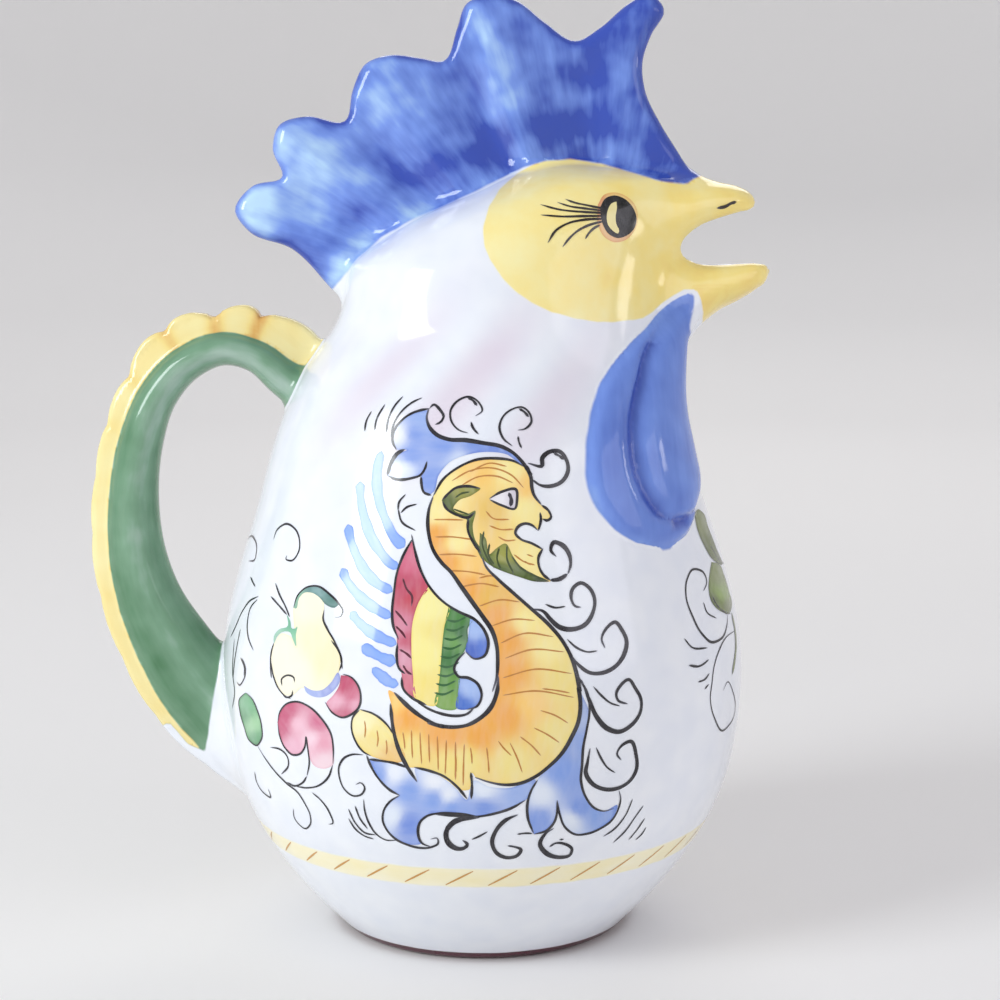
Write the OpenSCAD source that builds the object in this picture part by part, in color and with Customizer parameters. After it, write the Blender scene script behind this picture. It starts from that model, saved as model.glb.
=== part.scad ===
// Glazed earthenware pitcher shaped as a rooster: a thrown body on a turned foot, a moulded head whose
// open beak is the spout, a five-lobed comb, two wattles and a strap handle with a scalloped crest.
// +Z is up, the beak points to +X, the handle to -X, and the origin is the centre of the foot's underside.

/* [Body] */
// Radius of the body at its widest place
belly_r = 66.4; // [55:0.1:80]
// Height of the widest place above the table
belly_z = 66; // [50:0.5:80]
// Height of the luting seam where the head and neck sit on the body
seam_z = 96; // [88:0.5:100]
// Radius of the body at the seam
seam_r = 60.8; // [54:0.1:64]
// Thickness of the thrown wall
wall_t = 4.5; // [3:0.1:7]
// Thickness of the body's floor
floor_t = 5; // [3:0.1:9]

/* [Foot] */
// Outer radius of the foot where it stands
foot_r = 36; // [28:0.1:44]
// Height of the foot ring
foot_h = 4; // [2.5:0.1:7]
// Width of the foot ring
foot_w = 6; // [4:0.1:10]
// How far the foot flares out over its height
foot_flare = 3.6; // [1:0.1:6]

/* [Head] */
// Height of the head and neck from the seam to the crown
head_h = 98.5; // [88:0.5:110]
// How far the inside of the crown lies below its top
crown_fall = 5.5; // [4:0.1:8]

/* [Comb] */
// Length of the comb from its rear lobe to its front root
comb_l = 114; // [95:0.5:130]
// Height of the comb from its rear root to the highest lobe
comb_h = 73; // [60:0.5:85]
// Thickness of the comb where it grows from the crown
comb_t = 11; // [7:0.1:15]
// Thickness of the comb at the lobes' rims
comb_rim_t = 5.5; // [3:0.1:7]

/* [Beak] */
// Reach of the upper beak in front of the face
upper_beak_l = 24.9; // [20:0.1:31]
// Reach of the lower beak in front of the face
lower_beak_l = 28.7; // [22:0.1:34]
// Half width of the beak where it leaves the face
beak_half_w = 15; // [12:0.1:18]
// Radius of the mouth passage inside the head
mouth_r = 10.4; // [7:0.1:12]
// Radius of the mouth passage at the lip
lip_r = 5.8; // [4:0.1:8]

/* [Wattles] */
// Length of a wattle from its tip under the chin to its round end
wattle_l = 59.5; // [50:0.5:64]
// How far the raised drop of a wattle stands out from the neck
wattle_relief = 6; // [4:0.1:8]
// How far the flat outer lobe of a wattle stands out from the neck
wattle_rim_relief = 3.2; // [2:0.1:3.8]
// Turn of each wattle away from the middle of the chest, in degrees
wattle_turn_deg = 39; // [30:0.5:46]
// Half of the angle of the neck that a wattle covers, in degrees
wattle_spread_deg = 23; // [16:0.5:27]

/* [Handle] */
// Width of the handle's strap across the hand
handle_w = 16; // [12:0.1:22]
// Thickness of the strap at the thumb
handle_t = 9; // [6:0.1:12]
// Thickness of the strap where it runs into the belly
handle_root_t = 24; // [16:0.1:28]
// Reach of the handle's middle line behind the pitcher's axis
handle_reach = 89; // [82:0.1:96]
// Height of the arch of the handle's middle line above the table
handle_top_z = 147; // [138:0.1:152]
// Width of the crest along the handle
crest_w = 8; // [5:0.1:11]
// Height of the crest above the strap
crest_h = 5; // [3:0.1:7]
// Depth of the crest's scallops at the thumb
scallop_d = 3; // [1:0.1:4]

/* [Hidden] */
$fn = 96;

white_glaze = "#F4F5F8";
cobalt_glaze = "#4A69BE";
yellow_glaze = "#F3CF66";
green_glaze = "#4E7A4B";
crest_glaze = "#F7E38C";

// One overrun for every cut.
over = 1;
// Depth to which a luted piece is drawn into its carrier before it is cut to the carrier's face.
bed = 7;
// Sides of a horizontal ring of the head and of a handle ring.
ring_n = 48;
strap_n = 18;

// Points on a smooth curve through a row of points: a Catmull-Rom spline, steps to each span.
function at(p, i) = p[max(0, min(len(p) - 1, i))];
function spline_point(p, i, t) =
    let (a = at(p, i - 1), b = at(p, i), c = at(p, i + 1), d = at(p, i + 2))
    (2 * b + (c - a) * t + (2 * a - 5 * b + 4 * c - d) * t * t
     + (3 * b - 3 * c + d - a) * t * t * t) / 2;
function spline(p, steps) =
    [for (i = [0:len(p) - 2]) for (k = [0:steps - 1]) spline_point(p, i, k / steps), p[len(p) - 1]];

// A closed skin over rings that all have the same number of points, each ring convex and flat.
module loft(rings) {
    n = len(rings[0]);
    m = len(rings);
    points = [for (r = rings) each r];
    sides = [for (j = [0:m - 2]) for (i = [0:n - 1])
             let (k = (i + 1) % n, a = j * n + i, b = j * n + k, c = a + n, d = b + n)
             each [[a, c, b], [b, c, d]]];
    polyhedron(points = points,
               faces = concat(sides, [[for (i = [0:n - 1]) i]],
                              [[for (i = [n - 1:-1:0]) (m - 1) * n + i]]),
               convexity = 8);
}

// The thrown body: one profile, turned round the axis, for the outside and for the inside.

neck_r0 = foot_r + foot_flare;
// Belly below its widest place: share of the height from foot to belly, share of the swell.
lower_belly_shares = [[0, 0], [0.09, 0.2], [0.2, 0.41], [0.32, 0.6], [0.44, 0.75],
                      [0.59, 0.88], [0.78, 0.965], [1, 1]];
// Shoulder above the widest place: share of the height from belly to seam, share of the draw-in.
shoulder_shares = [[0, 0], [0.17, 0.04], [0.35, 0.15], [0.52, 0.31], [0.69, 0.53], [0.85, 0.77], [1, 1]];

function body_profile(grow) =
    concat([for (p = spline(lower_belly_shares, 3))
            [neck_r0 + (belly_r - neck_r0) * p[1] + grow, foot_h + (belly_z - foot_h) * p[0]]],
           [for (p = spline(shoulder_shares, 3)) if (p[0] > 0)
            [belly_r - (belly_r - seam_r) * p[1] + grow, belly_z + (seam_z - belly_z) * p[0]]]);

module body_outer() {
    rotate_extrude() polygon(concat([[0, foot_h]], body_profile(0), [[0, seam_z]]));
}

module body_inner() {
    profile = body_profile(-wall_t);
    floor_z = foot_h + floor_t;
    rotate_extrude() polygon(concat(
        [[0, floor_z], [neck_r0 - wall_t, floor_z]],
        [for (p = profile) if (p[1] > floor_z + wall_t / 2) p],
        [[seam_r - wall_t, seam_z + over], [0, seam_z + over]]));
}

// The moulded head and neck: level rings from the seam up to the crown.

// One row for each level of the head: share of the height, then back, front and half width as shares of
// the seam's radius, and how much narrower the front half is than the back.
head_level_shares = [
    [0.000, -1.000, 1.000, 1.000, 0.00],
    [0.071, -0.963, 0.963, 0.963, 0.00],
    [0.142, -0.929, 0.929, 0.929, 0.00],
    [0.223, -0.895, 0.895, 0.895, 0.00],
    [0.324, -0.845, 0.873, 0.841, 0.01],
    [0.386, -0.803, 0.861, 0.796, 0.03],
    [0.456, -0.750, 0.850, 0.738, 0.05],
    [0.522, -0.675, 0.837, 0.684, 0.08],
    [0.588, -0.604, 0.825, 0.640, 0.11],
    [0.647, -0.571, 0.819, 0.613, 0.14],
    [0.697, -0.562, 0.819, 0.592, 0.16],
    [0.747, -0.528, 0.823, 0.565, 0.18],
    [0.798, -0.413, 0.829, 0.530, 0.19],
    [0.845, -0.295, 0.834, 0.488, 0.19],
    [0.883, -0.163, 0.836, 0.437, 0.18],
    [0.920, -0.027, 0.828, 0.371, 0.16],
    [0.951, 0.076, 0.777, 0.291, 0.12],
    [0.975, 0.170, 0.573, 0.183, 0.06],
    [0.992, 0.268, 0.429, 0.072, 0.00]];

// Ring of the head at one level. The inner skin is drawn in by the wall and lowered by the crown's fall.
function head_ring(row, inset, fall) =
    let (z = seam_z + row[0] * (head_h - fall),
         back = row[1] * seam_r, front = row[2] * seam_r,
         mid = (back + front) / 2,
         half = (front - back) / 2,
         half_x = max(half - inset, half * inner_floor_share),
         half_y = max(row[3] * seam_r - inset, row[3] * seam_r * inner_floor_share))
    [for (i = [0:ring_n - 1]) let (a = 360 * i / ring_n)
     [mid + half_x * cos(a), half_y * sin(a) * (1 - row[4] * cos(a)), z]];
// Where the head closes over, the inner skin keeps at least this share of the outer one.
inner_floor_share = 0.3;

module head_outer(from, to) {
    loft([for (j = [from:to]) head_ring(head_level_shares[j], 0, 0)]);
}

module head_inner() {
    first = [for (p = head_ring(head_level_shares[0], wall_t, crown_fall)) [p[0], p[1], p[2] - over]];
    loft(concat([first],
                [for (row = head_level_shares) head_ring(row, wall_t, crown_fall)]));
}
last_level = len(head_level_shares) - 1;

// Row numbers of the levels that each luted piece meets, so that its seat is cut to the same facets.
comb_from_n = 8;
upper_beak_from_n = 11;
lower_beak_from_n = 6;
lower_beak_to_n = 12;
wattle_to_n = 10;
handle_from_n = 3;
handle_to_n = 9;

// The face, where the beaks spring from, and the mouth: a tapered round passage from the gullet out
// between the beaks.
face_x_share = 0.715;
face_x = seam_r * face_x_share;
gullet_share = 0.59;
mouth_z_share = 0.78;
mouth_rise = 3;
mouth_z = seam_z + head_h * mouth_z_share;
mouth_back_x = seam_r * gullet_share;
mouth_front_x = face_x + lower_beak_l + bed;
module mouth_passage() {
    run = mouth_front_x - mouth_back_x;
    translate([mouth_back_x, 0, mouth_z])
        rotate([0, 90 - atan2(mouth_rise, run), 0])
            cylinder(r1 = mouth_r, r2 = lip_r, h = run);
}

// The comb: ribs from a root inside the crown out to a five-lobed rim.

// The comb's toe ends above the root of the upper beak, and its rear root lies on the back of the head.
comb_toe_share = 0.342;
comb_root_share = 0.67;
comb_x0 = face_x + upper_beak_l * comb_toe_share - comb_l;
comb_z0 = seam_z + head_h * comb_root_share;
// The comb's rim from the back of the head over the five lobes to the beak, as shares of its length
// and height.
comb_rim_shares = [
    [0.215, 0.000], [0.125, 0.140], [0.030, 0.200], [0.000, 0.270], [0.040, 0.355], [0.105, 0.385],
    [0.085, 0.480], [0.100, 0.560], [0.160, 0.590], [0.245, 0.575],
    [0.262, 0.680], [0.290, 0.765], [0.345, 0.795], [0.410, 0.785], [0.460, 0.775],
    [0.490, 0.885], [0.510, 0.965], [0.562, 0.995], [0.620, 0.975], [0.680, 0.905], [0.750, 0.842],
    [0.800, 0.885], [0.862, 0.965], [0.908, 1.000], [0.940, 0.945], [0.912, 0.860], [0.894, 0.770],
    [0.900, 0.675], [0.935, 0.560], [0.975, 0.460], [1.000, 0.395]];
// The root of the comb inside the crown, in the same shares.
comb_root_shares = [[0.255, -0.035], [0.320, 0.090], [0.450, 0.180], [0.600, 0.290], [0.740, 0.330],
                    [0.860, 0.320], [0.955, 0.385]];

function comb_place(s) = [comb_x0 + s[0] * comb_l, comb_z0 + s[1] * comb_h];
// A point a share of the way along a smooth row of points.
function along(p, s) =
    let (u = s * (len(p) - 1), i = min(len(p) - 2, floor(u))) spline_point(p, i, u - i);

// A rib of the comb: it flares into the crown, thins outward and is rounded at the rim.
rib_shares = [[0, 1, 0.9], [0.16, 0.97, 0.3], [0.32, 0.9, 0.06], [0.6, 0.72, 0], [0.85, 0.4, 0]];
rim_round_shares = [[0, 1], [0.55, 0.86], [0.86, 0.52], [1, 0.16]];
function comb_rib(root, rim, flare) =
    let (run = rim - root, l = norm(run), d = run / l,
         round_l = min(comb_rim_t * 0.8, l * 0.5), body_l = l - round_l,
         side = concat([for (s = rib_shares)
                        [s[0] * body_l, (comb_rim_t + (comb_t - comb_rim_t) * (s[1] + flare * s[2])) / 2]],
                       [for (s = rim_round_shares)
                        [body_l + s[0] * round_l, comb_rim_t * 0.56 * s[1]]]))
    concat([for (p = side) [root[0] + d[0] * p[0], p[1], root[1] + d[1] * p[0]]],
           [for (i = [len(side) - 1:-1:0]) let (p = side[i])
            [root[0] + d[0] * p[0], -p[1], root[1] + d[1] * p[0]]]);

module comb_solid() {
    rim = spline(comb_rim_shares, 2);
    last = len(rim) - 1;
    loft([for (i = [0:last])
          comb_rib(comb_place(along(comb_root_shares, i / last)), comb_place(rim[i]),
                   sin(180 * i / last))]);
}

// The beaks: tapering sections from inside the face to the tip, flattened where they face the mouth.

// Rows from inside the face to the tip: share of the reach from the face, share of the half width, and
// the height of the underside and of the top as shares of the head's height.
upper_beak_shares = [
    [0.00, 1.00, 0.784, 0.949], [0.29, 0.92, 0.804, 0.945], [0.46, 0.80, 0.827, 0.945],
    [0.66, 0.64, 0.846, 0.941], [0.83, 0.48, 0.860, 0.931], [0.94, 0.31, 0.868, 0.916],
    [0.98, 0.18, 0.877, 0.905], [1.00, 0.06, 0.888, 0.894]];
lower_beak_shares = [
    [0.00, 1.00, 0.523, 0.760], [0.14, 0.98, 0.530, 0.757], [0.27, 0.93, 0.543, 0.752],
    [0.41, 0.85, 0.583, 0.745], [0.55, 0.76, 0.616, 0.742], [0.74, 0.63, 0.645, 0.744],
    [0.89, 0.46, 0.673, 0.743], [0.97, 0.27, 0.694, 0.734], [1.00, 0.08, 0.713, 0.721]];
beak_n = 28;
// Power that squares the side of a beak's section that faces the mouth.
mouth_side_power = 0.45;

// A section across a beak: mouth_side is +1 where the mouth is above it and -1 where it is below.
function beak_ring(row, reach, mouth_side) =
    let (x = face_x + row[0] * reach, w = row[1] * beak_half_w,
         low = seam_z + row[2] * head_h, high = seam_z + row[3] * head_h,
         mid = (low + high) / 2, half = (high - low) / 2)
    [for (i = [0:beak_n - 1])
     let (a = 360 * i / beak_n, s = sin(a),
          rise = s * mouth_side > 0 ? sign(s) * pow(abs(s), mouth_side_power) : s)
     [x, w * cos(a), mid + half * rise]];

module beak(rows, reach, mouth_side) {
    loft([for (row = spline(rows, 2)) beak_ring(row, reach, mouth_side)]);
}

// The wattles: each follows the neck, a thin outer lobe with a raised drop on it.

// Rows from the tip under the chin to the round end: share of the length, then the middle as a share of
// the turn, the half width as a share of the spread, and the relief as a share of the full relief.
wattle_lobe_shares = [
    [0.00, 0.50, 0.08, 0.50], [0.04, 0.53, 0.26, 0.80], [0.11, 0.63, 0.46, 1.00],
    [0.22, 0.83, 0.70, 1.00], [0.35, 0.97, 0.86, 1.00], [0.50, 1.00, 0.96, 1.00],
    [0.66, 1.01, 1.00, 1.00], [0.77, 1.02, 0.95, 1.00], [0.86, 1.03, 0.81, 0.95],
    [0.94, 1.06, 0.54, 0.75], [0.98, 1.07, 0.30, 0.45], [1.00, 1.07, 0.08, 0.15]];
wattle_drop_shares = [
    [0.03, 0.50, 0.10, 0.45], [0.11, 0.60, 0.34, 0.80], [0.22, 0.72, 0.50, 0.90],
    [0.35, 0.77, 0.56, 0.95], [0.50, 0.79, 0.61, 1.00], [0.65, 0.80, 0.64, 1.00],
    [0.76, 0.82, 0.58, 0.95], [0.84, 0.87, 0.42, 0.75], [0.89, 0.92, 0.20, 0.45],
    [0.90, 0.94, 0.06, 0.20]];
wattle_top_z = seam_z + head_h * 0.673;
wattle_arc_n = 20;
wattle_level_n = 22;
// The rim of a wattle starts this far below the face of the neck.
wattle_bed = 1.2;

// A point of the neck at a height and a turn from the beak's side, lifted off its face.
function level_share(s, column) = lookup(s, [for (row = head_level_shares) [row[0], row[column]]]);
function neck_point(z, turn, lift) =
    let (s = (z - seam_z) / head_h, back = level_share(s, 1) * seam_r,
         front = level_share(s, 2) * seam_r, half_y = level_share(s, 3) * seam_r,
         narrow = level_share(s, 4))
    [(back + front) / 2 + ((front - back) / 2 + lift) * cos(turn),
     (half_y + lift) * sin(turn) * (1 - narrow * cos(turn)), z];

// Half width and middle, in degrees, and relief share of a row of lobe shares at a share of the length.
function lobe_at(rows, s) = [for (c = [1:3]) lookup(s, [for (r = rows) [r[0], r[c]]])];
// Height of a rounded lobe over a turn, zero outside it.
function lobe_lift(lobe, turn, relief) =
    let (u = (turn - lobe[0] * wattle_turn_deg) / (lobe[1] * wattle_spread_deg))
    abs(u) >= 1 ? 0 : relief * lobe[2] * pow(1 - u * u, 0.4);

// One level of a wattle: the flat lobe with the raised drop on it, closed by a chord inside the neck.
function wattle_ring(s) =
    let (rim = lobe_at(wattle_lobe_shares, s), drop = lobe_at(wattle_drop_shares, s),
         on_drop = s > wattle_drop_shares[0][0] && s < wattle_drop_shares[len(wattle_drop_shares) - 1][0])
    [for (k = [0:wattle_arc_n])
     let (turn = rim[0] * wattle_turn_deg + rim[1] * wattle_spread_deg * cos(180 * k / wattle_arc_n),
          lift = max(lobe_lift(rim, turn, wattle_rim_relief),
                     on_drop ? lobe_lift(drop, turn, wattle_relief) : 0))
     neck_point(wattle_top_z - s * wattle_l, turn, lift - wattle_bed)];
module wattle_solid() {
    loft([for (s = [0:wattle_level_n]) wattle_ring((1 - cos(180 * s / wattle_level_n)) / 2)]);
}

// The handle: an oval strap along one line from the neck over the arch to the belly.

// The strap's middle line from the neck over the arch to the belly. Across: share of the handle's reach.
// Up: share of the arch's height. Then the thickness: share of the way from thumb to lower root.
handle_shares = [
    [0.480, 0.922, 0.24], [0.560, 0.953, 0.10], [0.640, 0.990, 0.00], [0.735, 1.003, 0.00],
    [0.840, 0.977, 0.02], [0.923, 0.922, 0.06], [0.975, 0.842, 0.14], [1.000, 0.742, 0.24],
    [0.992, 0.638, 0.38], [0.958, 0.560, 0.52], [0.900, 0.487, 0.72], [0.820, 0.412, 0.92],
    [0.700, 0.340, 1.00], [0.560, 0.290, 0.95]];
// Height of the crest at the same places, as a share of its full height.
crest_shares = [0.9, 0.95, 1, 1, 1, 1, 0.95, 0.9, 0.9, 0.9, 0.85, 0.7, 0.5, 0.3];
strap_steps = 4;
handle_line = spline([for (i = [0:len(handle_shares) - 1])
                      let (s = handle_shares[i])
                      [-s[0] * handle_reach, s[1] * handle_top_z,
                       handle_t + s[2] * (handle_root_t - handle_t), crest_shares[i]]], strap_steps);
handle_last = len(handle_line) - 1;
function handle_dir(i) =
    let (a = handle_line[max(0, i - 1)], b = handle_line[min(handle_last, i + 1)],
         d = [b[0] - a[0], b[1] - a[1]]) d / norm(d);
// Outward across the strap: the line runs from the neck up, back and down, so this is to its right.
function handle_out(i) = let (d = handle_dir(i)) [d[1], -d[0]];

// The strap's section is an oval with a flat on its outer side, where the crest is luted on.
flat_a = asin(crest_w / handle_w);
function strap_ring(i) =
    let (c = handle_line[i], o = handle_out(i), half = c[2] / 2)
    [for (k = [0:strap_n - 1]) let (a = flat_a + (360 - 2 * flat_a) * k / (strap_n - 1))
     [c[0] + o[0] * half * cos(a), handle_w / 2 * sin(a), c[1] + o[1] * half * cos(a)]];

// Scallops along the crest, one to each span of the line after a longer first one, deep at the thumb
// and faint below.
crest_top_share = 0.62;
function scallop(i) =
    let (s = i / handle_last, spans = i / strap_steps,
         wave = spans < 2 ? sin(90 * spans) : abs(sin(180 * spans)))
    scallop_d * (1 - wave) * max(0.2, 1 - 2.2 * s);
function crest_ring(i) =
    let (c = handle_line[i], o = handle_out(i), base = c[2] / 2 * cos(flat_a),
         full = max(crest_h * 0.2, crest_h * c[3] + scallop_d * 0.4 - scallop(i)),
         mid = base + full * 0.6, top = base + full)
    [for (p = [[base, -1], [mid, -0.9], [top, -crest_top_share * 0.6], [top, crest_top_share * 0.6],
               [mid, 0.9], [base, 1]])
     [c[0] + o[0] * p[0], p[1] * crest_w / 2, c[1] + o[1] * p[0]]];

// The sub-parts, each cut to the face of what carries it.

module body_shell() color(white_glaze) difference() {
    body_outer();
    body_inner();
}

module foot_ring() color(white_glaze) rotate_extrude() polygon([
    [foot_r - foot_w, 0], [foot_r, 0], [neck_r0, foot_h], [neck_r0 - foot_w, foot_h]]);

module head_shell() color(white_glaze) difference() {
    head_outer(0, last_level);
    head_inner();
    mouth_passage();
}

module comb() color(cobalt_glaze) difference() {
    comb_solid();
    head_outer(comb_from_n, last_level);
}

module upper_beak() color(yellow_glaze) difference() {
    beak(upper_beak_shares, upper_beak_l, -1);
    head_outer(upper_beak_from_n, last_level);
    mouth_passage();
}

module lower_beak() color(yellow_glaze) difference() {
    beak(lower_beak_shares, lower_beak_l, 1);
    head_outer(lower_beak_from_n, lower_beak_to_n);
    mouth_passage();
}

module wattle_left() color(cobalt_glaze) difference() {
    wattle_solid();
    head_outer(0, wattle_to_n);
    beak(lower_beak_shares, lower_beak_l, 1);
}

module wattle_right() mirror([0, 1, 0]) wattle_left();

module handle() color(green_glaze) difference() {
    loft([for (i = [0:handle_last]) strap_ring(i)]);
    head_outer(handle_from_n, handle_to_n);
    body_outer();
}

module handle_crest() color(crest_glaze) difference() {
    loft([for (i = [0:handle_last]) crest_ring(i)]);
    head_outer(handle_from_n, handle_to_n);
    body_outer();
}

body_shell();
foot_ring();
head_shell();
comb();
upper_beak();
lower_beak();
wattle_right();
wattle_left();
handle();
handle_crest();
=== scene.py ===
"""Rooster pitcher in glazed earthenware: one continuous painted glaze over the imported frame."""
import math

import bpy
import numpy as np
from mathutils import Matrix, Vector, geometry
from mathutils.bvhtree import BVHTree


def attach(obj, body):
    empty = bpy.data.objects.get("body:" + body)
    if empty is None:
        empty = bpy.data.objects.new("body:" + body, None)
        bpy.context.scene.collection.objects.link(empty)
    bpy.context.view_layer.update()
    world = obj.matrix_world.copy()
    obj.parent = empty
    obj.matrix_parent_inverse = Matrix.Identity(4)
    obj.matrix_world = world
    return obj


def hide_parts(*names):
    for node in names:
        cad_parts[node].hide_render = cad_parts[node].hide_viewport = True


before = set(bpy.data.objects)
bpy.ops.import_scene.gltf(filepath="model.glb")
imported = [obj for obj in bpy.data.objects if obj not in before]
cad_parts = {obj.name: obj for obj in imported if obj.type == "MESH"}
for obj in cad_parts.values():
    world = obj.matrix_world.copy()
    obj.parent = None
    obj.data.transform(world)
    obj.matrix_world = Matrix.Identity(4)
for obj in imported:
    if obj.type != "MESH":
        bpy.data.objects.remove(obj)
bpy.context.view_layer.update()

MM = 0.001

# Sizes of the pitcher in millimetres, as in the part's source.
BELLY_R, BELLY_Z = 66.4, 66.0
SEAM_R, SEAM_Z = 60.8, 96.0
WALL_T, FLOOR_T = 4.5, 5.0
FOOT_R, FOOT_H, FOOT_W, FOOT_FLARE = 36.0, 4.0, 6.0, 3.6
HEAD_H, CROWN_FALL = 98.5, 5.5
COMB_L, COMB_H, COMB_T, COMB_RIM_T = 114.0, 73.0, 11.0, 6.4
UPPER_BEAK_L, LOWER_BEAK_L, BEAK_HALF_W = 24.9, 28.7, 15.0
MOUTH_R, LIP_R, MOUTH_RISE = 10.4, 5.8, 3.0
WATTLE_L, WATTLE_RELIEF, WATTLE_RIM_RELIEF = 59.5, 6.0, 3.2
WATTLE_TURN, WATTLE_SPREAD = math.radians(39), math.radians(23)
HANDLE_W, HANDLE_T, HANDLE_ROOT_T = 16.0, 9.0, 24.0
HANDLE_REACH, HANDLE_TOP_Z = 89.0, 147.0
CREST_W, CREST_H, SCALLOP_D = 8.0, 5.0, 3.0

NECK_R = FOOT_R + FOOT_FLARE
FACE_X = SEAM_R * 0.715
MOUTH_X = SEAM_R * 0.59
MOUTH_Z = SEAM_Z + HEAD_H * 0.78
COMB_X = FACE_X + UPPER_BEAK_L * 0.342 - COMB_L
COMB_Z = SEAM_Z + HEAD_H * 0.67

# Grid step of the modelled glaze, and the box that the grid fills round the pitcher.
GRID = 1.1
GRID_X, GRID_Y, GRID_Z = (-104.0, 76.0), 70.0, (-1.6, 238.0)
# How softly the clay of two luted pieces runs together, and how far the edges are rounded.
COMB_FILLET, BEAK_FILLET, HANDLE_FILLET, CREST_FILLET = 4.0, 6.0, 3.0, 1.2
GULLET_FILLET, LIP_FILLET, RECESS_FILLET, FOOT_ROUND = 3.0, 1.6, 0.9, 1.1
# The clay is smoothed out further round the handle's low end.
ROOT_FILLET, ROOT_Z, ROOT_RISE = 9.0, 44.0, 12.0
# A turn round the neck counts as millimetres on this radius.
NECK_MEAN_R = 44.0
# The neck has shallow slanting flutes: their depth, wave and slant, and the place where they show.
FLUTE_D, FLUTE_WAVE, FLUTE_SLANT = 0.28, 3.6, 0.55
FLUTE_Z, FLUTE_RISE, FLUTE_TURN, FLUTE_SPREAD = 139.0, 17.0, 1.75, 0.62
# The throat is drawn in between the chin and the chest.
THROAT_D, THROAT_Z, THROAT_RISE, THROAT_SPREAD = 3.9, 134.0, 17.0, 0.75
# A beak is flat along the mouth and round on its other side, and is bedded in the head.
MOUTH_POWER, ROUND_POWER, BEAK_BEDDED = 3.4, 2.0, 9.0
# The bore of the gullet runs on past the tip of the lower beak.
BORE_PAST = 7.0
# The comb is thickest at its root and thins out over this height.
COMB_THINS = 17.0
# The crest is sunk into the strap, narrows to its edge and has rounded corners.
CREST_SUNK, CREST_TAPER, CREST_ROUND = 4.0, 0.3, 1.5

LOWER_BELLY = [[0, 0], [0.09, 0.2], [0.2, 0.41], [0.32, 0.6], [0.44, 0.75], [0.59, 0.88], [0.78, 0.965],
               [1, 1]]
SHOULDER = [[0.17, 0.04], [0.35, 0.15], [0.52, 0.31], [0.69, 0.53], [0.85, 0.77], [1, 1]]
HEAD_LEVELS = [
    [0.071, -0.963, 0.963, 0.963, 0.00], [0.142, -0.929, 0.929, 0.929, 0.00],
    [0.223, -0.895, 0.895, 0.895, 0.00], [0.324, -0.845, 0.873, 0.841, 0.01],
    [0.386, -0.803, 0.861, 0.796, 0.03], [0.456, -0.750, 0.850, 0.738, 0.05],
    [0.522, -0.675, 0.837, 0.684, 0.08], [0.588, -0.604, 0.825, 0.640, 0.11],
    [0.647, -0.571, 0.819, 0.613, 0.14], [0.697, -0.562, 0.819, 0.592, 0.16],
    [0.747, -0.528, 0.823, 0.565, 0.18], [0.798, -0.413, 0.829, 0.530, 0.19],
    [0.845, -0.295, 0.834, 0.488, 0.19], [0.883, -0.163, 0.836, 0.437, 0.18],
    [0.920, -0.027, 0.828, 0.371, 0.16], [0.951, 0.076, 0.777, 0.291, 0.12],
    [0.975, 0.170, 0.573, 0.183, 0.06], [0.992, 0.268, 0.429, 0.072, 0.00],
    [1.000, 0.320, 0.380, 0.020, 0.00]]
COMB_RIM = [
    [0.215, 0.000], [0.125, 0.140], [0.030, 0.200], [0.000, 0.270], [0.040, 0.355], [0.105, 0.385],
    [0.085, 0.480], [0.100, 0.560], [0.160, 0.590], [0.245, 0.575], [0.262, 0.680], [0.290, 0.765],
    [0.345, 0.795], [0.410, 0.785], [0.460, 0.775], [0.490, 0.885], [0.510, 0.965], [0.562, 0.995],
    [0.620, 0.975], [0.680, 0.905], [0.750, 0.842], [0.800, 0.885], [0.862, 0.965], [0.908, 1.000],
    [0.940, 0.945], [0.912, 0.860], [0.894, 0.770], [0.900, 0.675], [0.935, 0.560], [0.975, 0.460],
    [1.000, 0.395]]
COMB_ROOT = [[0.255, -0.035], [0.320, 0.090], [0.450, 0.180], [0.600, 0.290], [0.740, 0.330],
             [0.860, 0.320], [0.955, 0.385]]
UPPER_BEAK = [[-0.40, 1.00, 0.784, 0.949], [0.00, 1.00, 0.784, 0.949], [0.29, 0.92, 0.804, 0.945],
              [0.46, 0.80, 0.827, 0.945], [0.66, 0.64, 0.846, 0.941], [0.83, 0.48, 0.860, 0.931],
              [0.94, 0.31, 0.868, 0.916], [0.98, 0.18, 0.877, 0.905], [1.00, 0.04, 0.889, 0.893]]
LOWER_BEAK = [[-0.40, 1.00, 0.523, 0.760], [0.00, 1.00, 0.523, 0.760], [0.14, 0.98, 0.530, 0.757],
              [0.27, 0.93, 0.543, 0.752], [0.41, 0.85, 0.583, 0.745], [0.55, 0.76, 0.616, 0.742],
              [0.74, 0.63, 0.645, 0.744], [0.89, 0.46, 0.673, 0.743], [0.97, 0.27, 0.694, 0.734],
              [1.00, 0.05, 0.715, 0.720]]
WATTLE_LOBE = [
    [0.00, 0.50, 0.08, 0.50], [0.04, 0.53, 0.26, 0.80], [0.11, 0.63, 0.46, 1.00], [0.22, 0.83, 0.70, 1.00],
    [0.35, 0.97, 0.86, 1.00], [0.50, 1.00, 0.96, 1.00], [0.66, 1.01, 1.00, 1.00], [0.77, 1.02, 0.95, 1.00],
    [0.86, 1.03, 0.81, 0.95], [0.94, 1.06, 0.54, 0.75], [0.98, 1.07, 0.30, 0.45], [1.00, 1.07, 0.04, 0.15]]
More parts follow.
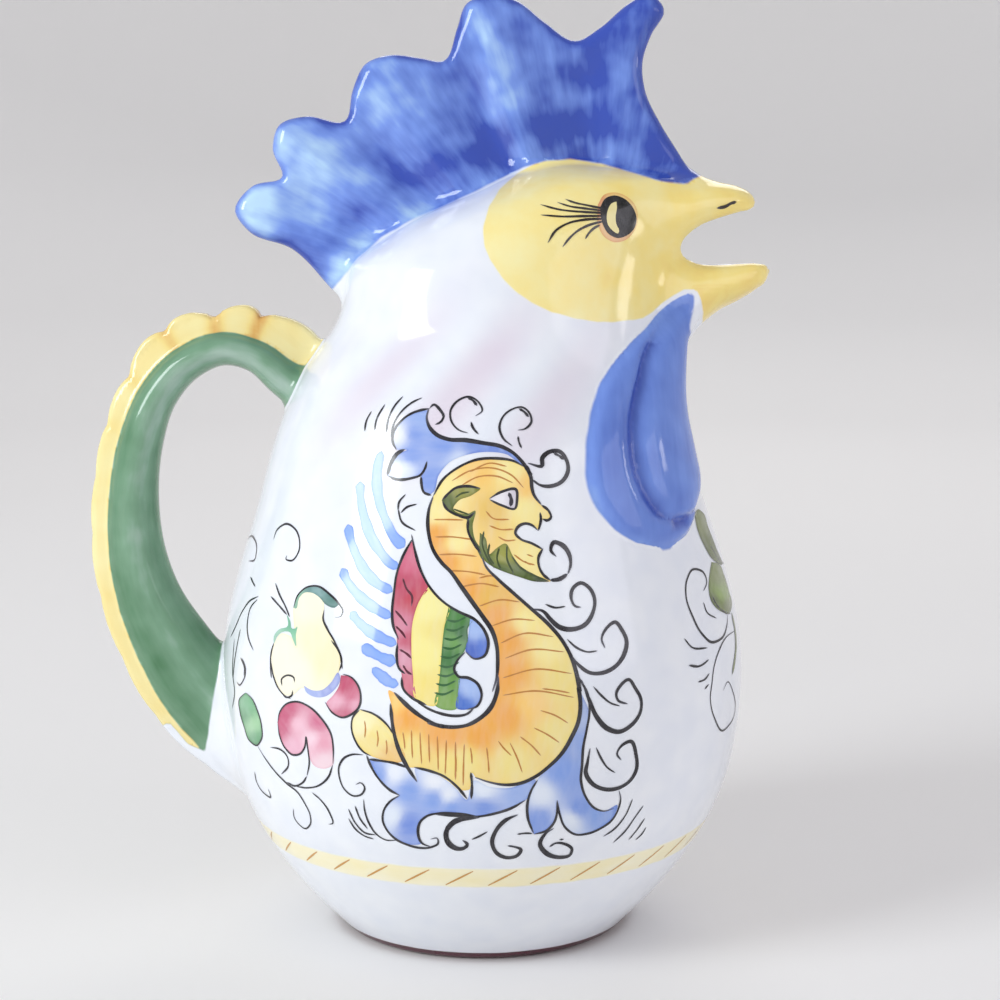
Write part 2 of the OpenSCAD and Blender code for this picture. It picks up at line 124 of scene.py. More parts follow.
WATTLE_DROP = [
    [0.03, 0.50, 0.10, 0.45], [0.11, 0.60, 0.34, 0.80], [0.22, 0.74, 0.53, 0.90], [0.35, 0.80, 0.62, 0.95],
    [0.50, 0.83, 0.70, 1.00], [0.65, 0.83, 0.71, 1.00], [0.76, 0.84, 0.63, 0.95], [0.84, 0.88, 0.45, 0.75],
    [0.89, 0.92, 0.20, 0.45], [0.90, 0.94, 0.04, 0.20]]
HANDLE_LINE = [
    [0.480, 0.922, 0.24], [0.560, 0.953, 0.10], [0.640, 0.990, 0.00], [0.735, 1.003, 0.00],
    [0.840, 0.977, 0.02], [0.923, 0.922, 0.06], [0.975, 0.842, 0.14], [1.000, 0.742, 0.24],
    [0.992, 0.638, 0.38], [0.958, 0.560, 0.52], [0.900, 0.487, 0.72], [0.820, 0.412, 0.92],
    [0.700, 0.340, 1.00], [0.560, 0.290, 0.95]]
CREST_LINE = [1.0, 1.5, 1.62, 1.05, 1.28, 0.9, 0.8, 0.78, 0.78, 0.78, 0.75, 0.65, 0.5, 0.3]


def hermite(x, y, xs):
    """Smooth values at xs through rows of values y at places x."""
    x, y, xs = (np.asarray(v, float) for v in (x, y, xs))
    slope = np.gradient(y, x, axis=0)
    i = np.clip(np.searchsorted(x, xs, "right") - 1, 0, len(x) - 2)
    h = (x[i + 1] - x[i])[:, None]
    t = np.clip((xs - x[i])[:, None] / h, 0, 1)
    y = y.reshape(len(x), -1)
    slope = slope.reshape(len(x), -1)
    return ((2 * t**3 - 3 * t**2 + 1) * y[i] + (t**3 - 2 * t**2 + t) * h * slope[i]
            + (3 * t**2 - 2 * t**3) * y[i + 1] + (t**3 - t**2) * h * slope[i + 1])


def curve(points, step):
    """A smooth line through points, with about equal steps along it."""
    points = np.asarray(points, float)
    along = np.concatenate([[0], np.cumsum(np.linalg.norm(np.diff(points[:, :2], axis=0), axis=1))])
    count = max(2, int(round(along[-1] / step)) + 1)
    return hermite(along, points, np.linspace(0, along[-1], count))


def blur(values, passes):
    """Softens a table of values along its first axis."""
    for _ in range(passes):
        inner = 0.25 * values[:-2] + 0.5 * values[1:-1] + 0.25 * values[2:]
        values = np.concatenate([values[:1], inner, values[-1:]])
    return values


def soft_min(a, b, k):
    h = np.clip(0.5 + 0.5 * (b - a) / k, 0, 1)
    return b + (a - b) * h - k * h * (1 - h)


def soft_max(a, b, k):
    return -soft_min(-a, -b, k)


def hill(distance, width):
    """1 at a place, falling away over a width."""
    return np.exp(-(distance / width) ** 2)


def oval_distance(across, up, half_w, half_h):
    """About how far points lie outside an oval, from its middle and its two half axes."""
    u, v = across / half_w, up / half_h
    rho = np.sqrt(u * u + v * v) + 1e-6
    return (rho - 1) * rho / (np.sqrt((u / half_w) ** 2 + (v / half_h) ** 2) + 1e-6)


def slab_distance(a, b, rounding):
    """Distance to the rounded edge where two faces meet, from the distances to the faces."""
    return np.minimum(np.maximum(a, b), 0) + np.hypot(np.maximum(a, 0), np.maximum(b, 0)) - rounding


class Levels:
    """Level rings of a round body: back, front, half width and narrowing of the front at each height."""

    def __init__(self, rows):
        rows = np.asarray(rows, float)
        self.z = np.arange(rows[0, 0], rows[-1, 0] + 0.25, 0.25)
        self.rows = blur(hermite(rows[:, 0], rows[:, 1:], self.z), 40)

    def at(self, z):
        back, front, half, narrow = (np.interp(z, self.z, self.rows[:, c]) for c in range(4))
        return (back + front) / 2, np.maximum((front - back) / 2, 0.3), np.maximum(half, 0.3), narrow

    def turn(self, x, y, z):
        """Angle round the ring, 0 at the beak's side."""
        mid, hx, hy, narrow = self.at(z)
        u = (x - mid) / hx
        return np.arctan2(np.abs(y) / (hy * (1 - narrow * np.clip(u, -1, 1))), u)

    def side(self, x, y, z):
        mid, hx, hy, narrow = self.at(z)
        return oval_distance(x - mid, y, hx, hy * (1 - narrow * np.clip((x - mid) / hx, -1, 1)))

    def distance(self, x, y, z):
        """About how far a point lies outside the rings."""
        d = self.side(x, y, z)
        rise = self.side(x, y, z + 0.5) - self.side(x, y, z - 0.5)
        d = d / np.sqrt(1 + rise * rise)
        return np.maximum(d, z - self.z[-1])


body_rows = [[0, FOOT_R], [FOOT_H, NECK_R]]
body_rows += [
    [FOOT_H + (BELLY_Z - FOOT_H) * s, NECK_R + (BELLY_R - NECK_R) * w] for s, w in LOWER_BELLY[1:]]
body_rows += [[BELLY_Z + (SEAM_Z - BELLY_Z) * s, BELLY_R - (BELLY_R - SEAM_R) * w] for s, w in SHOULDER]
outer_rows = [[z, -r, r, r, 0] for z, r in body_rows]
outer_rows += [
    [SEAM_Z + s * HEAD_H, b * SEAM_R, f * SEAM_R, w * SEAM_R, n] for s, b, f, w, n in HEAD_LEVELS]
outer = Levels(outer_rows)
inner_rows = [[z, WALL_T - r, r - WALL_T, r - WALL_T, 0] for z, r in body_rows[2:]]
for s, b, f, w, n in HEAD_LEVELS[:-1]:
    mid, half = (b + f) / 2 * SEAM_R, (f - b) / 2 * SEAM_R
    reach = max(half - WALL_T, half * 0.3)
    inner_rows.append([SEAM_Z + s * (HEAD_H - CROWN_FALL), mid - reach, mid + reach,
                       max(w * SEAM_R - WALL_T, w * SEAM_R * 0.3), n])
cavity = Levels(inner_rows)


class Field:
    """Values on a fine grid of places (a, b), worked out once and then read between its points."""

    def __init__(self, low, high, steps, fill):
        self.low, self.steps = low, steps
        rows, columns = (np.arange(low[k], high[k], steps[k]) for k in (0, 1))
        self.shape = (len(rows), len(columns))
        a, b = np.meshgrid(rows, columns, indexing="ij")
        self.values = fill(a.ravel(), b.ravel()).reshape(self.shape + (-1,))

    def read(self, *place):
        a, b = (np.clip((place[k] - self.low[k]) / self.steps[k], 0, self.shape[k] - 1.001) for k in (0, 1))
        i, j = a.astype(int), b.astype(int)
        a, b = a - i, b - j
        v = self.values
        return [v[i, j, c] * (1 - a) * (1 - b) + v[i + 1, j, c] * a * (1 - b)
                + v[i, j + 1, c] * (1 - a) * b + v[i + 1, j + 1, c] * a * b for c in range(v.shape[2])]

    def beyond(self, *place):
        """How far points lie outside the grid."""
        ends = [self.low[k] + self.steps[k] * (self.shape[k] - 1) for k in (0, 1)]
        past = [np.maximum(self.low[k] - place[k], place[k] - ends[k]) for k in (0, 1)]
        return np.maximum(*past).clip(0)


def polygon_distance(px, py, outline):
    """Signed distance of points to a closed outline, negative inside."""
    best = np.full(px.shape, 1e9)
    crossings = np.zeros(px.shape, int)
    for (ax, ay), (bx, by) in zip(outline, np.roll(outline, -1, axis=0)):
        dx, dy = bx - ax, by - ay
        t = np.clip(((px - ax) * dx + (py - ay) * dy) / (dx * dx + dy * dy + 1e-12), 0, 1)
        best = np.minimum(best, (px - ax - t * dx) ** 2 + (py - ay - t * dy) ** 2)
        if ay != by:
            hit = ((ay > py) != (by > py)) & (px < ax + (py - ay) * dx / dy)
            crossings += hit
    return np.where(crossings % 2 == 1, -1, 1) * np.sqrt(best)


def comb_place(shares):
    return np.array([[COMB_X + s * COMB_L, COMB_Z + t * COMB_H] for s, t in shares])


comb_outline = np.concatenate([curve(comb_place(COMB_RIM), 1.0),
                               curve(comb_place(COMB_ROOT), 3.0)[::-1]])
# The tables of the comb's distances reach this far past its outline.
COMB_ROOM = 8.0
COMB_LOW = COMB_X - COMB_ROOM, COMB_Z - COMB_ROOM
COMB_HIGH = COMB_X + COMB_L + COMB_ROOM, COMB_Z + COMB_H + COMB_ROOM
comb_field = Field(COMB_LOW, COMB_HIGH, (0.5, 0.5), lambda x, z: polygon_distance(x, z, comb_outline))
comb_root_line = curve(comb_place(COMB_ROOT), 1.0)


def root_height(x, z):
    """Distance from the comb's root line, to make the comb thicker there."""
    d = np.full(x.shape, 1e9)
    for ax, az in comb_root_line[::3]:
        d = np.minimum(d, (x - ax) ** 2 + (z - az) ** 2)
    return np.sqrt(d)


root_field = Field(COMB_LOW, COMB_HIGH, (1.0, 1.0), root_height)
# Centre that the brush strokes and the folds of the comb fan out from.
FAN_X, FAN_Z = 30.0, 146.0
# Each lobe swells along its middle, and a furrow runs in from the notch between two lobes. Both are
# turns about that centre, in degrees. Fine ripples run the same way.
FOLD_D, RIPPLES, RIPPLE_SHARE = 1.5, 31, 0.1
LOBE_TURNS = [-70, -56.4, -38.7, -19.7, 9]
NOTCH_TURNS = [-82, -62.5, -47.8, -27.7, -5.1, 30]
# The folds fade out over this width along the comb's edge.
FOLD_EDGE = 9.0


def fold_wave(x, z):
    """1 along the middle of a lobe and -1 in a furrow."""
    turns = sorted(LOBE_TURNS + NOTCH_TURNS)
    swell = [1 if t in LOBE_TURNS else -1 for t in turns]
    fan = np.degrees(np.arctan2(x - FAN_X, z - FAN_Z))
    return np.sin(np.pi / 2 * np.interp(fan, turns, swell))


def comb_distance(x, y, z):
    d = comb_field.read(x, z)[0] + comb_field.beyond(x, z)
    root = root_field.read(x, z)[0]
    ripple = RIPPLE_SHARE * np.sin(RIPPLES * np.arctan2(x - FAN_X, z - FAN_Z))
    fold = FOLD_D * (fold_wave(x, z) + ripple) * np.clip(-d / FOLD_EDGE, 0, 1)
    r = COMB_RIM_T / 2
    thick = r + (COMB_T / 2 - r) * hill(root, COMB_THINS) + fold
    return slab_distance(d + r, np.abs(y) - (thick - r), r)


class Beak:
    """One half of the beak: its width, lower edge and upper edge along its reach."""

    def __init__(self, rows, reach, mouth_side):
        rows = np.asarray(rows, float)
        self.x = np.arange(rows[0, 0], 1.0001, 0.01)
        self.rows = hermite(rows[:, 0], rows[:, 1:], self.x)
        self.reach, self.mouth_side = reach, mouth_side

    def value(self, x, y, z):
        s = (x - FACE_X) / self.reach
        w, low, high = (np.interp(s, self.x, self.rows[:, c]) for c in range(3))
        w = np.maximum(w * BEAK_HALF_W, 0.4)
        low, high = SEAM_Z + low * HEAD_H, SEAM_Z + high * HEAD_H
        half = np.maximum((high - low) / 2, 0.4)
        v = (z - (low + high) / 2) / half
        power = np.where(v * self.mouth_side > 0, MOUTH_POWER, ROUND_POWER)
        rho = np.sqrt((y / w) ** 2 + np.abs(v) ** power + 1e-9)
        return (rho - 1) * np.minimum(w, half)

    def distance(self, x, y, z):
        d = self.value(x, y, z)
        e = 0.25
        grad = np.sqrt((self.value(x + e, y, z) - self.value(x - e, y, z)) ** 2
                       + (self.value(x, y + e, z) - self.value(x, y - e, z)) ** 2
                       + (self.value(x, y, z + e) - self.value(x, y, z - e)) ** 2) / (2 * e)
        d = d / np.clip(grad, 0.5, 3)
        return np.maximum(d, np.maximum(x - FACE_X - self.reach, FACE_X - BEAK_BEDDED - x))


upper_beak = Beak(UPPER_BEAK, UPPER_BEAK_L, -1)
lower_beak = Beak(LOWER_BEAK, LOWER_BEAK_L, 1)

handle_rows = [[-a * HANDLE_REACH, u * HANDLE_TOP_Z, HANDLE_T + t * (HANDLE_ROOT_T - HANDLE_T), c]
               for (a, u, t), c in zip(HANDLE_LINE, CREST_LINE)]
HANDLE_STEP = 0.5
handle_points = curve(handle_rows, HANDLE_STEP)
handle_way = np.gradient(handle_points[:, :2], axis=0)
handle_way /= np.linalg.norm(handle_way, axis=1)[:, None]
# Where one scallop of the crest ends and the next begins, along the handle's line. They are cut less
# deep from the top down to the belly.
SCALLOP_ENDS = [0, 19.5, 27, 36, 47, 58, 70, 83, 97, 111, 126, 141, 160]
SCALLOP_FADE = 50.0


def handle_frame(x, z):
    """For points of the plane: how far outward of the handle's middle line they lie, and how far along."""
    out, along = np.empty(x.shape), np.empty(x.shape)
    for start in range(0, len(x), 20000):
        part = slice(start, start + 20000)
        dx = x[part, None] - handle_points[None, :, 0]
        dz = z[part, None] - handle_points[None, :, 1]
        i = np.argmin(dx * dx + dz * dz, axis=1)
        pick = np.arange(len(i))
        way = handle_way[i]
        out[part] = dx[pick, i] * way[:, 1] - dz[pick, i] * way[:, 0]
        along[part] = HANDLE_STEP * i + dx[pick, i] * way[:, 0] + dz[pick, i] * way[:, 1]
    return np.stack([out, along], axis=-1)


# The line runs from the neck up, back and down, so outward is to its right.
HANDLE_LOW, HANDLE_HIGH = (-110, 18), (-30, 164)
handle_field = Field(HANDLE_LOW, HANDLE_HIGH, (0.5, 0.5), handle_frame)
handle_length = HANDLE_STEP * (len(handle_points) - 1)


def handle_parts(x, y, z):
    """Distances to the strap and to the scalloped crest on its back, and the place along the handle."""
    out, along = handle_field.read(x, z)
    where = np.clip(along, 0, handle_length)
    steps = np.arange(len(handle_points)) * HANDLE_STEP
    half = np.interp(where, steps, handle_points[:, 2]) / 2
    full = np.interp(where, steps, handle_points[:, 3])
    strap = oval_distance(out, y, half, HANDLE_W / 2)
    over = np.maximum(-along, along - handle_length)
    away = handle_field.beyond(x, z)
    over = np.where(away > 0, away + ROOT_FILLET + HANDLE_FILLET + 2, over)
    strap = np.maximum(strap, over)
    flat = half * math.sqrt(1 - (CREST_W / HANDLE_W) ** 2)
    ends = np.array(SCALLOP_ENDS, float)
    i = np.clip(np.searchsorted(ends, where, "right") - 1, 0, len(ends) - 2)
    wave = np.sin(np.pi * (where - ends[i]) / (ends[i + 1] - ends[i]))
    depth = SCALLOP_D * np.clip(1.4 - where / SCALLOP_FADE, 0.16, 1.1)
    top = flat + CREST_H * full + SCALLOP_D * 0.4 - depth * (1 - wave) ** 1.3
    narrow = CREST_W / 2 * (1 - CREST_TAPER * np.clip((out - flat) / CREST_H, 0, 1))
    crest = slab_distance(np.maximum(out - top + CREST_ROUND, flat - CREST_SUNK - out),
                          np.abs(y) - narrow + CREST_ROUND, CREST_ROUND)
    return strap, np.maximum(crest, over), out, where


def lobe_lift(rows, s, turn, relief):
    """How far a lobe of the wattle stands out, and how far inside its edge a point lies. s runs from the
    wattle's top to its tip. A row gives the lobe's middle, half width and share of the relief."""
    rows = np.asarray(rows, float)
    mid, half, share = np.maximum(hermite(rows[:, 0], rows[:, 1:], s), 0.01).T
    u = (turn - mid * WATTLE_TURN) / (half * WATTLE_SPREAD)
    inside = (np.abs(u) < 1) & (s > rows[0, 0]) & (s < rows[-1, 0])
    edge = (1 - np.abs(u)) * half * WATTLE_SPREAD * NECK_MEAN_R
    edge = np.minimum(edge, np.minimum(s - rows[0, 0], rows[-1, 0] - s) * WATTLE_L)
    return np.where(inside, relief * share * np.clip(1 - u * u, 0, 1) ** 0.4, 0), edge


WATTLE_TOP = SEAM_Z + HEAD_H * 0.673
# A groove cut round the raised drop takes this share of the wattle's thickness.
GROOVE_SHARE, GROOVE_W = 0.55, 1.3


def wattle_lift(turn, z):
    """How far the wattle stands off the neck, and how far inside its lobe and its drop a point lies."""
    s = (WATTLE_TOP - z) / WATTLE_L
    rim, edge = lobe_lift(WATTLE_LOBE, s, turn, WATTLE_RIM_RELIEF)
    drop, inner = lobe_lift(WATTLE_DROP, s, turn, WATTLE_RELIEF)
    rim = rim * (1 - GROOVE_SHARE * hill(inner + 0.5, GROOVE_W))
    return np.stack([np.maximum(rim, drop), edge, inner], axis=-1)


# The table of the lift reaches this far past the wattle.
WATTLE_ROOM = 4.0
wattle = Field((-0.1, WATTLE_TOP - WATTLE_L - WATTLE_ROOM), (1.5, WATTLE_TOP + WATTLE_ROOM), (0.01, 0.5),
               wattle_lift)
# The lift is softened both ways, like poured glaze.
wattle.values[..., 0] = blur(blur(wattle.values[..., 0], 3).T, 3).T


def bore_distance(x, y, z):
    """Distance to the tapered bore from the head's hollow out between the beaks."""
    run = FACE_X + LOWER_BEAK_L + BORE_PAST - MOUTH_X
    slope = math.atan2(MOUTH_RISE, run)
    along = (x - MOUTH_X) * math.cos(slope) + (z - MOUTH_Z) * math.sin(slope)
    up = -(x - MOUTH_X) * math.sin(slope) + (z - MOUTH_Z) * math.cos(slope)
    r = MOUTH_R + (LIP_R - MOUTH_R) * np.clip(along / run, -0.2, 1.2)
    return np.maximum(np.hypot(y, up) - r, -along)


def throat_at(turn, z):
    """How far the throat is drawn in under the chin."""
    return THROAT_D * hill(z - THROAT_Z, THROAT_RISE) * hill(turn, THROAT_SPREAD)


def flute_reach(turn, z):
    """Where the soft slanting flutes of the neck show."""
    return hill(z - FLUTE_Z, FLUTE_RISE) * hill(turn - FLUTE_TURN, FLUTE_SPREAD)


def flute_at(turn, z):
    """Wave of the flutes round the neck, from -1 in a hollow to 1 on a ridge."""
    return np.sin((turn * NECK_MEAN_R + z * FLUTE_SLANT) / FLUTE_WAVE)


def pieces_at(x, y, z):
    """Distance to each piece of clay at points."""
    y = np.abs(y)
    base = outer.distance(x, y, z)
    turn = outer.turn(x, y, z)
    lift, edge, inner = wattle.read(turn, z)
    flute = FLUTE_D * flute_at(turn, z) * flute_reach(turn, z)
    strap, crest, out, along = handle_parts(x, y, z)
    return {"neck": base - flute + throat_at(turn, z), "turn": turn,
            "lift": lift, "lobe": edge, "drop": inner,
            "comb": comb_distance(x, y, z), "upper": upper_beak.distance(x, y, z),
            "lower": lower_beak.distance(x, y, z), "strap": strap, "crest": crest,
            "out": out, "along": along}


def hollow_at(x, y, z):
    """Distances to the hollow inside and to the recess under the foot."""
    y = np.abs(y)
    inside = cavity.distance(x, y, z) + throat_at(outer.turn(x, y, z), z)
    inside = np.maximum(inside, FOOT_H + FLOOR_T - z)
    inside = soft_min(inside, bore_distance(x, y, z), GULLET_FILLET)
    foot_r = FOOT_R - FOOT_W + z * FOOT_FLARE / FOOT_H
    recess = np.maximum(np.hypot(x, y) - foot_r, z - FOOT_H)
    return inside, recess


def glaze_distance(x, y, z):
    """Signed distance to the whole glazed form."""
    p = pieces_at(x, y, z)
    d = p["neck"] - p["lift"]
    d = soft_min(d, p["comb"], COMB_FILLET)
    d = soft_min(d, p["upper"], BEAK_FILLET)
    d = soft_min(d, p["lower"], BEAK_FILLET)
    fillet = HANDLE_FILLET + ROOT_FILLET * hill(z - ROOT_Z, ROOT_RISE)
    d = soft_min(d, soft_min(p["strap"], p["crest"], CREST_FILLET), fillet)
    inside, recess = hollow_at(x, y, z)
    d = soft_max(d, -inside, LIP_FILLET)
    d = soft_max(d, -recess, RECESS_FILLET)
    return soft_max(d, -z, FOOT_ROUND)


CORNERS = [(i, j, k) for i in (0, 1) for j in (0, 1) for k in (0, 1)]


def surface_net(values, origin, step):
    """Points and quads of the surface where values on a grid change sign."""
    size = [s - 1 for s in values.shape]
    inside = values < 0
    count = sum(
        inside[i:i + size[0], j:j + size[1], k:k + size[2]].astype(np.int8) for i, j, k in CORNERS)
    active = (count > 0) & (count < 8)
    cells = np.argwhere(active)
    index = np.full(active.shape, -1, np.int32)
    index[active] = np.arange(len(cells))
    value = {c: values[tuple((cells + c).T)] for c in CORNERS}
    total, hits = np.zeros((len(cells), 3)), np.zeros(len(cells))
    for c in CORNERS:
        for axis in range(3):
            if c[axis] == 0:
                end = tuple(1 if k == axis else c[k] for k in range(3))
                a, b = value[c], value[end]
                crossing = (a < 0) != (b < 0)
                point = np.tile(np.array(c, float), (len(cells), 1))
                point[:, axis] = a / np.where(crossing, a - b, 1)
                total += np.where(crossing[:, None], point, 0)
                hits += crossing
    points = origin + step * (cells + total / hits[:, None])
    quads = []
    for axis in range(3):
        u, w = np.eye(3, dtype=int)[(axis + 1) % 3], np.eye(3, dtype=int)[(axis + 2) % 3]
        low = [slice(None)] * 3
        high = [slice(None)] * 3
        low[axis], high[axis] = slice(0, -1), slice(1, None)
        for k in range(3):
            if k != axis:
                low[k] = high[k] = slice(1, -1)
        a, b = inside[tuple(low)], inside[tuple(high)]
        edge = np.argwhere(a != b) + u + w
        start_inside = a[a != b]
        quad = np.stack([index[tuple((edge - u - w).T)], index[tuple((edge - w).T)],
                         index[tuple(edge.T)], index[tuple((edge - u).T)]], axis=1)
        quads.append(np.where(start_inside[:, None], quad, quad[:, ::-1]))
    return points, np.concatenate(quads)


def gradient(p, e=0.1):
    """Direction in which the distance to the glazed form grows, at points."""
    rise = [glaze_distance(*(p + s).T) - glaze_distance(*(p - s).T) for s in np.eye(3) * e]
    return np.stack(rise, axis=1) / (2 * e)


# No point of the skin moves further than this at once.
LONGEST_MOVE = 0.6


def settle(points, quads, rounds):
    """Evens out the quads, then moves each point back onto the exact surface."""
    edges = np.concatenate([quads[:, [k, (k + 1) % 4]] for k in range(4)])
    weight = np.bincount(edges[:, 0], minlength=len(points))[:, None]
    for turn in range(rounds + 1):
        if turn < rounds:
            near = [np.bincount(edges[:, 0], points[edges[:, 1], c], len(points)) for c in range(3)]
            points = points + 0.5 * (np.stack(near, axis=1) / weight - points)
        for _ in range(2):
            g = gradient(points)
            size = np.maximum((g * g).sum(axis=1), 0.2)
            move = (glaze_distance(*points.T) / size)[:, None] * g
            length = np.linalg.norm(move, axis=1)[:, None]
            points = points - move * np.minimum(1, LONGEST_MOVE / np.maximum(length, 1e-9))
    g = gradient(points)
    return points, g / np.linalg.norm(g, axis=1)[:, None]


# One side is worked out, in slabs, and the other is its mirror image.
SLAB = 24
grid_x = np.arange(*GRID_X, GRID)
grid_y = (np.arange(0, int(GRID_Y / GRID)) + 0.5) * GRID
grid_z = np.arange(*GRID_Z, GRID)
half_values = np.empty((len(grid_x), len(grid_y), len(grid_z)))
for k in range(0, len(grid_z), SLAB):
    slab = np.meshgrid(grid_x, grid_y, grid_z[k:k + SLAB], indexing="ij")
    half_values[:, :, k:k + SLAB] = glaze_distance(*(v.ravel() for v in slab)).reshape(slab[0].shape)
grid_values = np.concatenate([half_values[:, ::-1], half_values], axis=1)
skin, skin_quads = surface_net(grid_values, np.array([grid_x[0], -grid_y[-1], grid_z[0]]), GRID)
skin, skin_normal = settle(skin, skin_quads, 2)

# The camera stands where the photograph was taken from: 2000 pixels of focal length over a 1000-pixel
# frame, 7.5 degrees above the middle of the pitcher and half a metre away.
FOCAL_PX, FRAME_PX = 2000.0, 1000.0
TILT = math.radians(7.5)
CAMERA_REACH = 511.0
TARGET = np.array([4.471, 0.0, 108.59])
EYE = TARGET + CAMERA_REACH * np.array([0.0, -math.cos(TILT), math.sin(TILT)])
FORWARD = np.array([0.0, math.cos(TILT), -math.sin(TILT)])
UPWARD = np.array([0.0, math.sin(TILT), math.cos(TILT)])


def to_pixels(p):
    """Where points of the near side lie in the photograph's frame."""
    rel = p - EYE
    depth = rel @ FORWARD
    return np.stack([FRAME_PX / 2 + FOCAL_PX * rel[:, 0] / depth,
                     FRAME_PX / 2 - FOCAL_PX * (rel @ UPWARD) / depth], axis=1)


near = skin * [1, -1, 1]
near[:, 1] = -np.abs(near[:, 1])
skin_px = to_pixels(near)
# The photograph's scale at the middle of the pitcher.
PX_PER_MM = 3.9

# Edges of the painted areas, read in the photograph: comb, face, the wattle's side towards the throat,
# and the white root of the handle.
CROWN_EDGE = [(700, 176), (686, 184), (660, 181), (634, 173), (602, 164), (571, 159), (545, 161),
              (523, 168), (498, 180), (475, 192), (444, 206), (411, 220), (382, 237), (358, 258),
              (349, 270), (330, 292), (150, 260), (150, -120), (760, -120), (760, 120)]
FACE_EDGE = [(683, 179), (640, 171), (597, 157), (575, 154), (556, 157), (535, 163), (516, 174),
             (500, 189), (489, 206), (483, 228), (484, 245), (490, 260), (502, 278), (516, 292),
             (534, 304), (552, 312), (574, 318), (597, 322), (616, 322), (632, 320), (643, 318),
             (654, 311), (664, 302), (674, 295), (685, 289), (696, 290), (701, 300), (703, 312),
             (702, 324), (706, 345), (860, 330), (860, 120), (700, 120)]
THROAT_EDGE = [(560, 250), (676, 292), (686, 292), (692, 297), (692, 304), (689, 316), (687, 327),
               (690, 338), (712, 346), (724, 600), (560, 600)]
ROOT_EDGE = [(226, 620), (205, 752), (188, 744), (169, 722), (140, 740), (190, 830), (320, 830),
             (320, 620)]
# The dark line on the foot's edge and the yellow band, in millimetres over the table.
FOOT_LINE_TOP, FOOT_LINE_R = 2.3, 34.6
BAND_Z, BAND_HALF = 27.6, 2.6
# Heights where the comb's blue and the face's yellow end at the latest, and where the handle's green
# ends at its top and the white of its root ends above.
BLUE_LOW_Z, YELLOW_LOW_Z, GREEN_TOP_Z, ROOT_TOP_Z = 150.0, 140.0, 168.0, 80.0
# The wattle's blue stays inside its edge but runs a little over it towards the throat, the green stops
# short of the body, and the lip is left bare.
WATTLE_BARE, THROAT_OVER, GREEN_BARE, LIP_BARE = 0.8, 0.6, 0.8, 0.9

# Widths of the marks in the paint, in millimetres: one sweep of a loaded brush, its bristles, the
# puddles that a wet wash dries in, the waver of a painted edge, and the slow ripple of the molten glaze.
SWEEP_MM, BRISTLE_MM, PUDDLE_MM, WAVER_MM, RIPPLE_MM = 5.2, 1.2, 8.0, 5.0, 9.0
# Widths of the clouds and the bristle marks in a small wash.
WASH_MM, HAIR_MM = 3.2, 1.4
# How much longer than wide the marks of a brush are, and how strongly each kind of mark shows.
STROKE_SHARE = 0.14
SWEEP_SHOWS, BRISTLE_SHOWS, PUDDLE_SHOWS = 1.05, 0.4, 1.0

parts = pieces_at(*skin.T)
hollow, _ = hollow_at(*skin.T)
x, y, z = skin.T


def painted_edge(outline):
    """Signed distance in millimetres to an edge read in the photograph, negative inside."""
    return polygon_distance(*skin_px.T, np.array(outline, float)) / PX_PER_MM


base = parts["neck"] - parts["lift"]
crown = np.maximum(painted_edge(CROWN_EDGE), BLUE_LOW_Z - z)
lobe = np.maximum(-parts["lobe"] - WATTLE_BARE, painted_edge(THROAT_EDGE) - THROAT_OVER)
handle = soft_min(parts["strap"], parts["crest"], CREST_FILLET)
painted = {
    "cobalt": np.minimum(crown, lobe),
    "yellow": np.maximum(painted_edge(FACE_EDGE), YELLOW_LOW_Z - z),
    "green": np.maximum(handle - base - GREEN_BARE, z - GREEN_TOP_Z),
    "crest": parts["crest"] - parts["strap"],
    "band": np.abs(z - BAND_Z) - BAND_HALF,
    "foot_line": np.maximum(z - FOOT_LINE_TOP, FOOT_LINE_R - np.hypot(x, y)),
}
painted["green"] = np.maximum(painted["green"], -np.maximum(painted_edge(ROOT_EDGE), z - ROOT_TOP_Z))
painted["crest"] = np.maximum(painted["crest"], painted["green"])
for area in ("cobalt", "yellow", "green", "crest", "band"):
    painted[area] = np.maximum(painted[area], LIP_BARE - hollow)


# How thick the colour lies, from 0 where it is thin to 1 where it pooled, and how much the marks of the
# brush show in it. The same value also carries painted light and shade. The comb's colour is thin towards
# its rear, as painted light, and deeper towards its front and along its rim, as painted shade; it is also
# pooled in a row of strokes above its root. The wattle is pooled round the raised drop, and the handle is
# paler along the middle of the strap's side, as a painted highlight.
forward = np.clip((x + 62) / 90, 0, 1)
rear_tip = np.clip(-(x + 46) / 12, 0, 1)
rim = comb_field.read(x, z)[0] + comb_field.beyond(x, z)
# Painted light and shade of the comb: paler at its rear tip, deeper towards its front and along its rim.
load_and_painted_light = (0.4 + 0.5 * forward ** 2 - 0.1 * fold_wave(x, z) - 0.2 * rear_tip + 0.3 * hill(crown + 9, 3.5)
        - 0.3 * hill(crown + 1.2, 2.2) * (1 - forward) + 0.45 * hill(rim, 1.3))
streak = np.ones(len(skin))

on_wattle = parts["lobe"] > -1.5
round_drop = hill(parts["drop"] + 0.8, 1.5) * (z < 150)
drop_end = hill(z - 97, 4) * hill(np.minimum(parts["drop"], 0), 5)
wattle_load = 0.62 + 0.36 * round_drop + 0.35 * drop_end - 0.12 * hill(parts["lobe"], 1.6)

on_face = (painted["yellow"] < 1) & (crown > 0) & ~on_wattle
face_load = 0.36 + 0.16 * np.clip((x - 35) / 30, -1, 1)

on_handle = painted["green"] < 3
round_strap = np.arctan2(np.abs(y) * 1.1, parts["out"])
# Painted highlight: the strap is paler along the middle of its side, less so towards its low end.
handle_load_and_highlight = 0.76 - 0.42 * hill(round_strap - 1.75, 0.42) * np.clip(1.5 - parts["along"] / 100, 0.4, 1)
notch = np.abs(parts["along"][:, None] - np.array(SCALLOP_ENDS, float)).min(axis=1)
crest_load = 0.25 + 0.75 * hill(notch, 1.6) * np.clip(1.25 - parts["along"] / 55, 0.12, 1)

